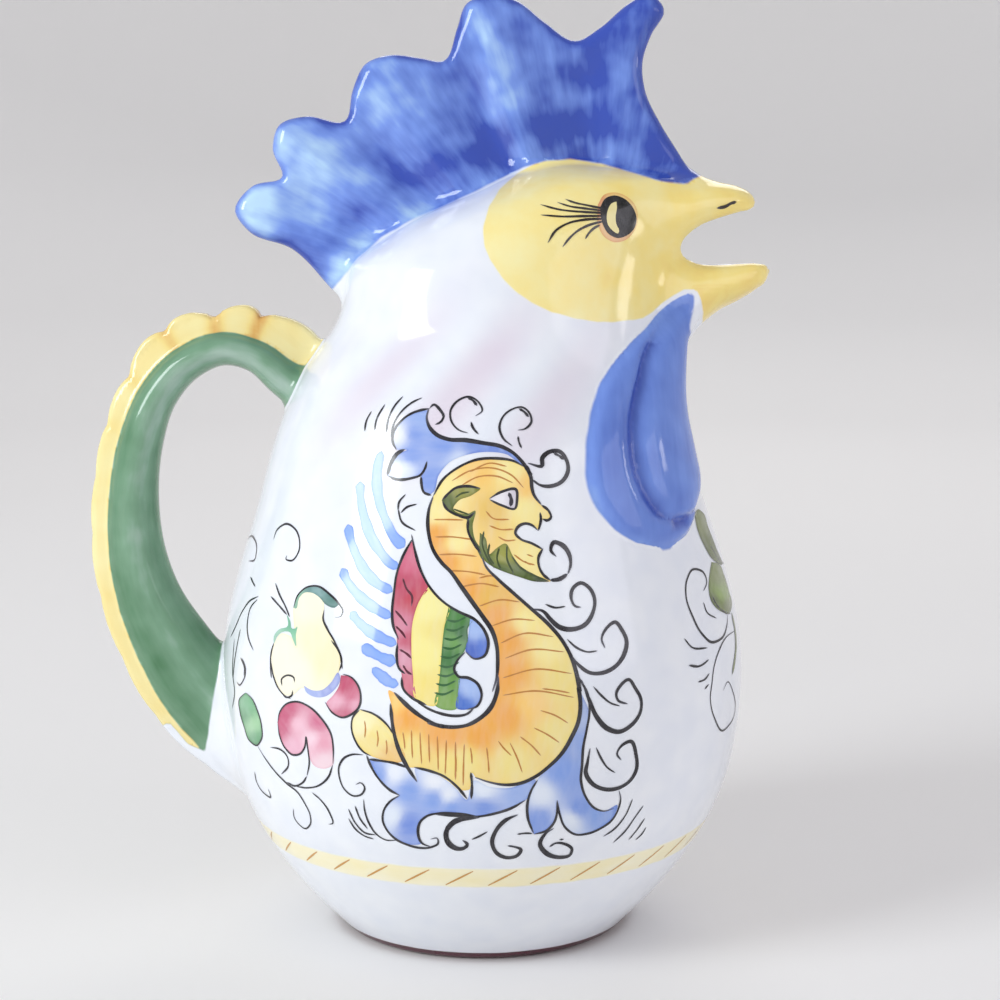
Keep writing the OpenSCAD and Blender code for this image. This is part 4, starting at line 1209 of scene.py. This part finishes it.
# Ear and beard.
washes.area(
    BUST(470, 602, 518, 550, 590, 536, 648, 546, 604, 580, 548, 602, 522, 640, 590, 664, 622, 648,
         612, 720, 622, 780, 652, 832, 656, 872, 618, 800, 588, 740, 584, 690, 530, 672, 490, 645),
    BUST.pools(560, 560, "#9A9A4A", 490, 610, "#5A6A30", 600, 700, "#7D8A42", 640, 840, "#5F7038"),
    level=THIRD_COAT)
washes.area(
    BUST(645, 750, 668, 770, 690, 850, 722, 822, 762, 800, 796, 856, 836, 910, 902, 950, 964, 974,
         900, 976, 830, 956, 760, 932, 705, 908, 668, 880, 646, 832),
    BUST.pools(680, 860, "#6F7F3C", 750, 860, "#A5A552", 740, 920, "#53682F", 840, 940, "#5E7034",
               940, 972, "#46562C"),
    level=THIRD_COAT)
washes.area(
    BUST(690, 596, 745, 565, 806, 556, 810, 634, 745, 622),
    BUST.pools(740, 595, "#F1EEF2", 800, 600, "#D9D2DC"), level=TOP_COAT)
# Left spray: flower, berry, oval, comma and leaf.
washes.area(
    PLUMES(385, 1262, 384, 1190, 410, 1130, 450, 1104, 492, 1108, 540, 1152, 545, 1200, 540, 1250,
           562, 1302, 602, 1372, 630, 1440, 640, 1510)
    + SPRAY(842, 100, 832, 160, 800, 225, 750, 268, 700, 280, 640, 250, 585, 290, 540, 285, 500, 210,
            480, 120, 474, 40)
    + PLUMES(268, 1500, 270, 1420, 286, 1372, 322, 1324, 370, 1340, 396, 1392),
    PLUMES.pools(460, 1180, "#FDF8DE", 480, 1350, "#FCF3CE", 340, 1420, "#FDF8E2", 560, 1440, "#FBF1C8")
    + SPRAY.pools(620, 150, "#FDF8E2", 760, 120, "#FBF1C8"))
washes.area(
    PLUMES(384, 1190, 410, 1122, 458, 1082, 512, 1080, 572, 1118, 622, 1172, 600, 1190, 556, 1176,
           520, 1136, 480, 1112, 442, 1112, 414, 1140, 396, 1195),
    PLUMES.pools(410, 1150, "#A8CDB8", 500, 1095, "#7FA7A6", 590, 1160, "#5E8A84"), level=SECOND_COAT)
washes.area(
    PLUMES(350, 1225, 368, 1260, 378, 1300, 392, 1300, 404, 1288, 398, 1330, 398, 1392, 380, 1350,
           366, 1318, 330, 1316, 296, 1345, 284, 1376, 282, 1340, 312, 1302, 352, 1290),
    PLUMES.pools(370, 1270, "#8FCBAE", 390, 1370, "#A9DCBE", 300, 1330, "#B9DCCB"), level=SECOND_COAT)
washes.area(
    SPRAY(648, 238, 690, 262, 740, 262, 790, 222, 828, 170, 838, 200, 806, 262, 756, 296, 700, 296,
          660, 272),
    SPRAY.pools(690, 275, "#B9C6EE", 790, 250, "#A7B2E4"), level=SECOND_COAT)
washes.area(
    SPRAY(842, 184, 890, 192, 926, 232, 943, 290, 934, 348, 900, 384, 850, 403, 800, 380, 764, 334,
          800, 290, 832, 240),
    SPRAY.pools(870, 250, "#C2476A", 900, 290, "#CC5C7C", 820, 320, "#EDB3C6", 850, 380, "#C85878",
                920, 330, "#E7A0B6"),
    level=THIRD_COAT)
washes.area(
    SPRAY(940, 362, 906, 400, 898, 458, 918, 526, 968, 588, 1050, 624, 1140, 640, 1168, 632, 1120, 500,
          1062, 430, 995, 376),
    SPRAY.pools(960, 440, "#FBF2BE", 1000, 520, "#F6E08A", 1110, 600, "#F2C878", 1060, 480, "#F8E89A"))
washes.area(
    SPRAY(510, 430, 522, 378, 560, 332, 610, 323, 672, 346, 740, 410, 790, 492, 801, 572, 797, 655,
          760, 672, 700, 655, 676, 610, 662, 520, 650, 562, 624, 594, 590, 598, 550, 566, 520, 500),
    SPRAY.pools(560, 380, "#C64A72", 530, 460, "#C94F76", 620, 440, "#F2C3D2", 600, 560, "#EDB4C8",
                720, 430, "#D36A8C", 740, 540, "#E9A4B8", 690, 520, "#F8D4E0", 760, 640, "#F4D8E0"))
washes.area(
    SPRAY(344, 276, 312, 308, 314, 372, 336, 452, 368, 528, 400, 550, 424, 520, 426, 448, 406, 370,
          376, 306),
    SPRAY.pools(350, 340, "#7FB98C", 380, 440, "#A5D2A4", 400, 520, "#6FA87C", 330, 400, "#6BA277"))
# Chest spray: olive leaves and stem, which lie close to the edge of the view. Their points are set
# closer, and they lie higher, so that the curve of the chest doesn't come through.
CHEST_COAT, CHEST_SPACING, STEM_W = 0.05, 2.0, 1.6
washes.area(
    CHEST_SIDE(1152, 700, 1170, 676, 1192, 690, 1222, 768, 1262, 872, 1292, 966, 1258, 948, 1200, 862,
               1164, 772),
    CHEST_SIDE.pools(1180, 740, "#7F8852", 1240, 880, "#6A7540"), level=CHEST_COAT, spacing=CHEST_SPACING)
washes.area(
    CHEST_SIDE(1240, 952, 1276, 960, 1306, 1020, 1330, 1100, 1346, 1180, 1332, 1220, 1290, 1210,
               1242, 1162, 1226, 1100, 1230, 1020),
    CHEST_SIDE.pools(1270, 1010, "#7E8A48", 1290, 1120, "#86A23C", 1250, 1150, "#5D6A2E",
                     1330, 1190, "#6A7634"),
    level=CHEST_COAT, spacing=CHEST_SPACING)
washes.line(CHEST_SIDE(1345, 1215, 1362, 1300, 1368, 1380, 1362, 1460, 1348, 1540), STEM_W,
            "#6E7A38", 0.5, 0.3, CHEST_COAT)

# Blue plumes behind the wing: single loaded strokes.
PLUME_W = 2.5
washes.lines(PLUME_W, [
    PLUMES(845, 372, 825, 450, 820, 540, 835, 640, 870, 740, 920, 832, 965, 872),
    PLUMES(733, 530, 735, 620, 755, 720, 790, 820, 840, 900, 890, 958, 935, 980),
    PLUMES(668, 755, 685, 840, 715, 920, 760, 1000, 820, 1062, 902, 1105),
    PLUMES(637, 985, 665, 1050, 710, 1110, 770, 1165, 830, 1205, 895, 1238),
    PLUMES(682, 1212, 730, 1270, 800, 1325, 870, 1360, 922, 1380),
    SPRAY(950, 32, 1010, 68, 1070, 98, 1128, 116),
    SPRAY(1005, 148, 1050, 185, 1100, 222, 1142, 232)], "#8FB2F4", 0.8, 0.9)

# Outlines and scrolls, with the widths of the brush lines in millimetres.
PUPIL_W = 0.85
FULL, MEDIUM, CURL, LIGHT, FINE = 0.92, 0.6, 0.76, 0.48, 0.42
# The figure's main outlines.
ink.lines(FULL, [
    BUST(410, 178, 400, 218, 412, 262, 448, 300, 500, 320, 580, 324, 660, 337, 740, 352,
         795, 380, 835, 418, 862, 455, 880, 495, 884, 540, 892, 572, 928, 622),
    BUST(430, 582, 411, 640, 405, 700, 410, 760, 430, 830, 470, 890, 510, 930, 560, 1000,
         610, 1070, 660, 1140, 700, 1200, 722, 1270, 727, 1350, 722, 1420, 702, 1485),
    BUST(655, 862, 672, 905, 725, 962, 795, 1025, 880, 1100, 960, 1172, 1020, 1242, 1064, 1320,
         1090, 1400, 1104, 1480)
    + TAIL(640, 130, 647, 205, 637, 285, 608, 352, 560, 432, 500, 492, 440, 537, 370, 568,
           300, 575, 225, 562, 160, 540),
    TAIL(270, 75, 262, 150, 232, 222, 182, 270, 125, 300, 70, 309, 10, 305, -60, 290),
    SPRAY(1420, 457, 1350, 446, 1280, 412, 1210, 362, 1150, 305, 1118, 272),
    SPRAY(1100, 330, 1116, 470, 1145, 575, 1188, 662, 1240, 742),
    BUST(1050, 940, 1010, 965, 968, 970), BUST(300, 365, 262, 388, 236, 430, 218, 487),
    BUST(882, 492, 872, 470, 850, 436)])
# Edges of the cap, face, wing and leaves, and the large scroll on the chest.
ink.lines(MEDIUM, [
    BUST(588, 128, 612, 140, 632, 166), BUST(824, 178, 850, 194, 870, 218),
    BUST(984, 384, 1010, 396, 1032, 414), BUST(604, 244, 614, 268, 624, 282),
    BUST(928, 622, 962, 650, 972, 682, 955, 694, 932, 686), BUST(922, 655, 926, 690, 914, 742),
    BUST(914, 742, 885, 716, 855, 708, 822, 722, 808, 752, 830, 778, 885, 800, 936, 828),
    BUST(936, 822, 915, 865, 917, 905, 938, 945, 972, 972),
    BUST(430, 582, 475, 505, 545, 450, 630, 414, 720, 408, 800, 420, 855, 450),
    BUST(262, 370, 244, 335, 246, 288, 278, 240, 320, 206, 372, 186, 415, 178),
    BUST(412, 178, 432, 160, 462, 185, 478, 215, 462, 242, 438, 252),
    BUST(218, 487, 258, 504, 330, 499, 372, 484, 392, 455, 402, 420),
    BUST(374, 490, 376, 525, 388, 565, 422, 578),
    BUST(330, 758, 345, 830, 375, 930, 420, 1010, 480, 1072, 550, 1116, 620, 1150, 665, 1200,
         684, 1262, 664, 1320, 620, 1332, 578, 1298),
    BUST(578, 1300, 540, 1342, 527, 1382, 545, 1412, 592, 1420, 635, 1448, 653, 1500, 632, 1550,
         585, 1566),
    SPRAY(1212, 298, 1300, 360, 1370, 386, 1432, 396, 1500, 386, 1545, 345),
    BUST(335, 778, 292, 856, 262, 940, 249, 1030, 241, 1110, 246, 1180, 272, 1245),
    BUST(266, 1258, 262, 1320, 274, 1378, 302, 1402),
    BUST(284, 1415, 292, 1470, 330, 1510, 400, 1545),
    BUST(470, 602, 500, 570, 530, 546, 590, 536, 646, 546),
    BUST(472, 605, 492, 640, 540, 668, 592, 680, 622, 655),
    BUST(592, 682, 590, 740, 618, 800, 652, 848),
    BUST(688, 594, 745, 562, 812, 552, 816, 600, 808, 638, 745, 624, 690, 598),
    SPRAY(975, 600, 992, 645, 1045, 732, 1100, 785, 1150, 812),
    SPRAY(985, 622, 1060, 632, 1130, 645, 1192, 668),
    SPRAY(1222, 664, 1300, 682, 1380, 712, 1450, 768, 1502, 832),
    SPRAY(1520, 690, 1526, 760, 1522, 832),
    SPRAY(1148, 812, 1102, 840, 1066, 890, 1060, 940, 1082, 992, 1132, 1042, 1192, 1070,
          1250, 1085, 1312, 1082, 1350, 1060, 1346, 1036, 1308, 1040),
    SPRAY(1312, 1080, 1264, 1060, 1244, 1000, 1256, 950, 1290, 920, 1350, 905, 1440, 906,
          1560, 922),
    TAIL(-20, 712, 80, 718, 165, 722, 250, 708, 330, 682, 395, 645),
    TAIL(450, 552, 420, 602, 402, 670, 406, 732, 432, 800),
    TAIL(432, 803, 490, 786, 526, 748, 540, 700, 540, 645),
    TAIL(541, 650, 552, 712, 576, 770, 622, 803, 680, 800, 740, 776, 792, 738, 820, 690,
         832, 632, 824, 600),
    TAIL(620, 50, 652, 102, 682, 160, 689, 232, 676, 320, 660, 402, 655, 480, 650, 560,
         672, 632, 712, 682, 752, 696, 802, 684),
    CHEST(1166, 1105, 1184, 1060, 1160, 1000, 1112, 990, 1082, 1040, 1076, 1130, 1112, 1240,
          1162, 1330, 1212, 1371, 1262, 1350, 1290, 1280, 1292, 1222),
    CHEST(1212, 1130, 1240, 1182, 1290, 1218, 1308, 1222),
    CHEST(1200, 862, 1258, 948, 1276, 960)])
# Curls before and under the figure.
ink.lines(CURL, [
    BUST(865, 430, 932, 440, 932, 408, 960, 380, 1010, 375, 1045, 418, 1051, 465, 1022, 515,
         970, 536, 920, 530, 886, 505),
    BUST(998, 862, 972, 832, 985, 795, 1022, 806, 1056, 850, 1063, 900, 1050, 942),
    BUST(880, 1102, 935, 1112, 972, 1152, 1012, 1186, 1070, 1196, 1130, 1174, 1165, 1120,
         1174, 1060, 1150, 1006, 1110, 982, 1072, 1010, 1066, 1055, 1085, 1090, 1112, 1094),
    BUST(1062, 1312, 1102, 1362, 1152, 1396, 1212, 1396, 1272, 1365, 1310, 1310, 1321, 1250,
         1300, 1200, 1270, 1163, 1222, 1200, 1206, 1240, 1222, 1284),
    TAIL(652, 90, 690, 190, 722, 262, 772, 316, 822, 331, 882, 300, 926, 230, 926, 180,
         900, 130, 870, 90, 830, 120, 812, 160, 820, 185, 866, 203),
    TAIL(692, 405, 680, 470, 672, 520, 702, 570, 762, 596, 822, 590, 872, 560, 906, 500,
         904, 440, 880, 375, 832, 400, 816, 435, 836, 462),
    SPRAY(1568, 928, 1500, 932, 1430, 950, 1396, 990, 1396, 1032, 1422, 1070, 1470, 1088,
          1502, 1075, 1482, 1045),
    TAIL(175, 722, 110, 730, 52, 760, 25, 800, 36, 846, 72, 871, 112, 866, 128, 848, 102, 830),
    TAIL(360, 712, 300, 740, 256, 790, 240, 840, 262, 890, 312, 911, 362, 896, 374, 875,
         340, 860, 310, 856),
    TAIL(526, 775, 486, 800, 461, 850, 490, 890, 550, 909, 602, 895, 608, 872, 570, 846,
         530, 845, 504, 862)], swell=0.5)
# The comma and the berry of the spray, and the curls over the cap.
ink.lines(LIGHT, [
    SPRAY(512, 432, 522, 378, 560, 332, 610, 322, 672, 346, 740, 410, 790, 492, 802, 572,
          800, 650),
    SPRAY(512, 432, 522, 500, 552, 566, 592, 600, 626, 596, 652, 562, 660, 505, 668, 560,
          676, 650, 664, 710),
    SPRAY(850, 178, 892, 192, 928, 232, 945, 290, 936, 350, 900, 386, 850, 405, 800, 382,
          758, 322),
    SPRAY(940, 364, 906, 400, 897, 456, 916, 524, 962, 586, 1000, 606),
    BUST(592, 292, 545, 275, 512, 232, 510, 188, 540, 145, 598, 124, 640, 150, 656, 188,
         622, 214),
    BUST(796, 352, 752, 315, 735, 265, 752, 215, 792, 182, 840, 172, 875, 202, 882, 240,
         852, 272, 818, 278)])
# Hairs, tendrils and the flower of the spray.
ink.lines(FINE, [
    BUST(114, 284, 122, 236, 146, 190), BUST(160, 280, 168, 232, 208, 158),
    BUST(214, 290, 222, 230, 250, 170, 292, 120),
    BUST(234, 312, 248, 250, 290, 185, 340, 146, 380, 128), BUST(604, 238, 612, 265, 640, 298),
    BUST(820, 304, 826, 336, 838, 362), BUST(268, 650, 272, 612, 304, 572),
    BUST(268, 640, 285, 700, 350, 742), BUST(280, 660, 305, 635, 356, 618),
    BUST(945, 1080, 992, 1096, 1040, 1090),
    BUST(1045, 1240, 1090, 1280, 1140, 1300, 1188, 1295),
    TAIL(705, 120, 742, 162, 790, 200, 830, 212), TAIL(718, 400, 742, 452, 772, 496, 808, 520),
    TAIL(145, 828, 185, 810, 220, 790), TAIL(355, 803, 400, 798, 428, 800),
    TAIL(548, 828, 572, 826), TAIL(750, 815, 802, 780, 852, 720, 888, 640),
    TAIL(795, 845, 852, 790, 902, 720, 938, 670), TAIL(868, 830, 902, 790, 945, 728),
    TAIL(900, 830, 930, 802, 950, 770),
    SPRAY(960, 600, 900, 598, 860, 615, 832, 660, 835, 722, 862, 782, 912, 815, 952, 804,
          966, 770, 944, 745, 918, 756),
    SPRAY(960, 830, 966, 890, 990, 960, 1028, 1015, 1080, 1045, 1134, 1045),
    SPRAY(915, 865, 940, 930, 982, 988), SPRAY(880, 880, 920, 960, 970, 1008, 1025, 1018),
    SPRAY(880, 930, 920, 990, 962, 1022, 1015, 1040),
    SPRAY(345, 274, 311, 310, 314, 372, 336, 452, 368, 530, 402, 551, 426, 520, 427, 448,
          406, 370, 376, 305, 345, 274),
    SPRAY(405, 550, 442, 612, 502, 692, 562, 752, 612, 792, 652, 852, 682, 920, 682, 962,
          660, 985, 620, 960, 596, 920, 594, 880),
    SPRAY(530, 702, 566, 660, 562, 610, 522, 570, 472, 560),
    SPRAY(390, 685, 402, 742, 440, 800, 474, 822, 462, 775),
    SPRAY(664, 710, 645, 742, 600, 762, 560, 742),
    SPRAY(690, 795, 742, 842, 782, 902, 796, 960, 776, 962),
    SPRAY(800, 650, 772, 722, 722, 762, 662, 772, 606, 764),
    SPRAY(274, 360, 286, 280, 276, 170, 280, 60, 286, -10),
    SPRAY(322, 90, 342, 142, 336, 202, 310, 236, 298, 216),
    SPRAY(474, 100, 490, 190, 522, 262, 562, 300, 582, 306),
    SPRAY(535, 240, 532, 205, 562, 184, 596, 196, 600, 222),
    SPRAY(540, 290, 560, 300, 585, 290, 590, 262),
    SPRAY(940, 362, 1012, 386, 1082, 442, 1122, 502),
    SPRAY(790, 0, 832, 60, 846, 122, 832, 162),
    PLUMES(280, 836, 302, 780, 350, 752, 396, 782, 417, 842, 410, 902, 372, 945, 345, 936,
           352, 915),
    PLUMES(140, 836, 165, 814, 186, 842, 191, 900, 176, 945, 150, 946),
    PLUMES(385, 1190, 410, 1122, 458, 1082, 512, 1078, 572, 1118, 622, 1170, 642, 1205,
           632, 1236, 600, 1240),
    PLUMES(545, 1200, 540, 1250, 562, 1302, 602, 1372, 630, 1440, 640, 1512),
    PLUMES(290, 1060, 312, 1122, 342, 1182, 366, 1240), PLUMES(266, 1130, 310, 1180, 352, 1228),
    PLUMES(160, 1028, 172, 1055, 186, 1082),
    PLUMES(204, 1130, 160, 1152, 122, 1202, 82, 1290, 56, 1345),
    PLUMES(198, 1145, 165, 1182, 146, 1250, 150, 1350, 176, 1415),
    PLUMES(284, 1372, 270, 1420, 265, 1500, 270, 1560),
    PLUMES(70, 1560, 76, 1480, 88, 1400, 108, 1300), PLUMES(108, 1450, 128, 1500, 126, 1550),
    CHEST(1166, 1160, 1190, 1220, 1236, 1246),
    CHEST(1340, 1305, 1290, 1340, 1246, 1420, 1222, 1500, 1212, 1580)
    + TAIL(1246, 180, 1266, 270, 1300, 326, 1340, 290, 1361, 220, 1354, 160, 1326, 100,
           1304, 142),
    CHEST(1065, 1350, 1112, 1400, 1190, 1400), CHEST(1090, 1490, 1150, 1495, 1196, 1460),
    TAIL(1145, 26, 1190, 30, 1236, 2), TAIL(1188, 102, 1220, 90, 1242, 60),
    TAIL(1218, 136, 1240, 110)], swell=0.15)
ink.line(BUST(778, 566, 790, 600, 786, 630), PUPIL_W, "#2E2A36", 0.8, 0.8)

# Brown modelling lines on the figure. They and the next ones lie a little under the outlines.
MODEL_W, WING_W, LASH_W, NOSTRIL_W = 0.34, 0.5, 0.55, 0.8
UNDER_INK, UNDER_OUTLINE = -0.02, -0.01
ink.lines(MODEL_W, [
    BUST(432, 690, 500, 690, 572, 692), BUST(438, 770, 520, 770, 610, 782),
    BUST(455, 852, 540, 850, 632, 860), BUST(500, 925, 590, 930, 672, 945),
    BUST(560, 1000, 650, 985, 735, 1000), BUST(640, 960, 700, 950, 735, 965),
    BUST(640, 1090, 740, 1060, 830, 1070), BUST(700, 1180, 800, 1150, 900, 1155),
    BUST(740, 1260, 850, 1215, 985, 1230), BUST(760, 1330, 880, 1290, 1035, 1300),
    BUST(750, 1420, 900, 1380, 1070, 1400), BUST(750, 1500, 900, 1480, 1080, 1510),
    BUST(515, 512, 600, 465, 700, 452, 790, 485, 848, 545),
    BUST(560, 532, 640, 492, 722, 490, 800, 522), BUST(600, 470, 690, 430, 770, 445),
    BUST(672, 650, 702, 682, 782, 690), BUST(688, 718, 742, 736, 802, 734),
    BUST(728, 768, 762, 786, 812, 784), BUST(860, 850, 892, 862), BUST(846, 880, 880, 900),
    BUST(800, 850, 850, 885, 900, 900), TAIL(470, 132, 535, 140, 600, 152),
    TAIL(462, 232, 530, 255, 592, 292), TAIL(432, 312, 492, 342, 552, 382),
    TAIL(368, 352, 420, 392, 466, 442), TAIL(322, 380, 355, 450, 380, 520),
    TAIL(268, 372, 290, 402, 330, 442), TAIL(215, 402, 222, 462, 226, 522),
    TAIL(70, 422, 74, 470, 74, 520), TAIL(140, 402, 146, 442, 148, 480),
    SPRAY(1165, 480, 1172, 525, 1176, 572), SPRAY(1210, 470, 1212, 545, 1216, 620),
    SPRAY(1255, 480, 1258, 565, 1264, 650), SPRAY(1300, 490, 1302, 565, 1305, 642),
    SPRAY(1345, 500, 1348, 590, 1350, 682), SPRAY(1392, 520, 1390, 610, 1386, 702),
    SPRAY(1440, 530, 1440, 630, 1440, 732), SPRAY(1486, 542, 1482, 650, 1480, 762),
    SPRAY(965, 420, 970, 460, 966, 512), SPRAY(1030, 470, 1036, 520, 1030, 560),
    SPRAY(1078, 520, 1082, 570, 1078, 600)], "#C4843C", 0.4, 0.4, level=UNDER_INK)
# Green hairs of the beard and the ear, and dark red folds of the wing.
ink.lines(FINE, [
    BUST(664, 742, 656, 800, 680, 868, 712, 915), BUST(735, 818, 724, 868, 742, 922),
    BUST(770, 808, 770, 870, 802, 942), BUST(790, 858, 832, 910, 902, 950, 964, 975),
    BUST(690, 800, 684, 850, 712, 900), BUST(520, 640, 560, 655, 600, 668),
    BUST(530, 590, 560, 570, 600, 562)], "#3B4A22", 0.5, 0.3, level=UNDER_OUTLINE)
ink.lines(WING_W, [
    BUST(290, 960, 308, 1010, 332, 1042, 330, 1092), BUST(254, 1108, 290, 1150, 312, 1182),
    BUST(256, 1180, 290, 1215, 305, 1240), BUST(274, 1288, 310, 1310, 332, 1332),
    BUST(290, 1360, 315, 1395, 335, 1405)], "#5E2334", 0.5, 0.2, level=UNDER_OUTLINE)
# Dark green strokes, one below the other, down the wing's green stripe.
ink.lines(WING_W, [
    BUST(490 - 7 * k, 1152 + 42 * k, 530 - 7 * k, 1160 + 42 * k, 585 - 7 * k, 1138 + 42 * k)
    for k in range(9)], "#2E6232", 0.4, 0.3, level=UNDER_INK)

# The eye, its lashes and the nostrils.
washes.area(
    FACE(618, 335, 644, 292, 692, 280, 742, 296, 782, 334, 797, 390, 784, 446, 742, 492, 690, 502,
         644, 476, 618, 420),
    FACE.pools(620, 330, "#E9A878", 800, 400, "#F6D68C", 700, 505, "#F2C08E", 640, 480, "#F3C890",
               700, 275, "#F5CE7C"))
ink.area(
    FACE(628, 345, 650, 308, 690, 294, 738, 310, 775, 350, 790, 395, 780, 440, 748, 472, 705, 484,
         665, 465, 640, 425, 630, 385),
    FACE.pools(700, 390, "#0D0B0B"))
ink.area(
    FACE(700, 322, 680, 328, 664, 352, 656, 390, 662, 425, 684, 452, 708, 464, 712, 452, 700, 425,
         696, 388, 702, 350),
    FACE.pools(690, 390, "#F6E8A4"), level=TOP_COAT)
ink.lines(LASH_W, [
    FACE(640, 352, 570, 338, 510, 325, 470, 310), FACE(640, 362, 560, 352, 490, 342, 434, 324),
    FACE(642, 372, 560, 368, 440, 356, 358, 334), FACE(640, 385, 560, 386, 460, 388, 360, 381),
    FACE(640, 398, 560, 402, 480, 420, 430, 450, 392, 508),
    FACE(640, 410, 590, 422, 530, 450, 490, 485, 458, 526),
    FACE(628, 425, 600, 440, 575, 465, 560, 490)], "#241B18", 1.0, 0.2)
ink.line(FACE(1148, 350, 1190, 342, 1215, 328, 1238, 322), NOSTRIL_W, "#2A2018", 0.2, 0.8)

# Diagonal ticks round the yellow band, brushed one after another. A tick leans over this turn, fills
# this share of the band and is laid down in so many points.
BAND_TICKS, TICK_TURN, TICK_SHARE, TICK_HALF, TICK_POINTS = 36, 0.115, 0.8, 0.25, 9
tick = Brushwork("band_ticks", outline_paint, WASH_LIFT)
share = np.linspace(0, 1, TICK_POINTS)
for k in range(BAND_TICKS // 2):
    placed = []
    for s in share - 0.5:
        turn = math.tau * (k + 0.5) / BAND_TICKS + s * TICK_TURN
        towards = np.array([math.cos(turn), math.sin(turn), 0])
        start = np.array([0, 0, BAND_Z + s * 2 * BAND_HALF * TICK_SHARE]) - towards * 100
        placed.append(tree_skin.ray_cast(Vector(start), Vector(towards))[:2])
    centre, normal = (np.array(v) for v in zip(*placed))
    half = TICK_HALF * np.sin(math.pi * (0.08 + 0.84 * share)) ** 0.6
    tick.ribbon(centre, normal, half, [linear("#D09A4C")] * TICK_POINTS, (0, 0), 0.7)

for work in (washes, ink, tick):
    work.build()
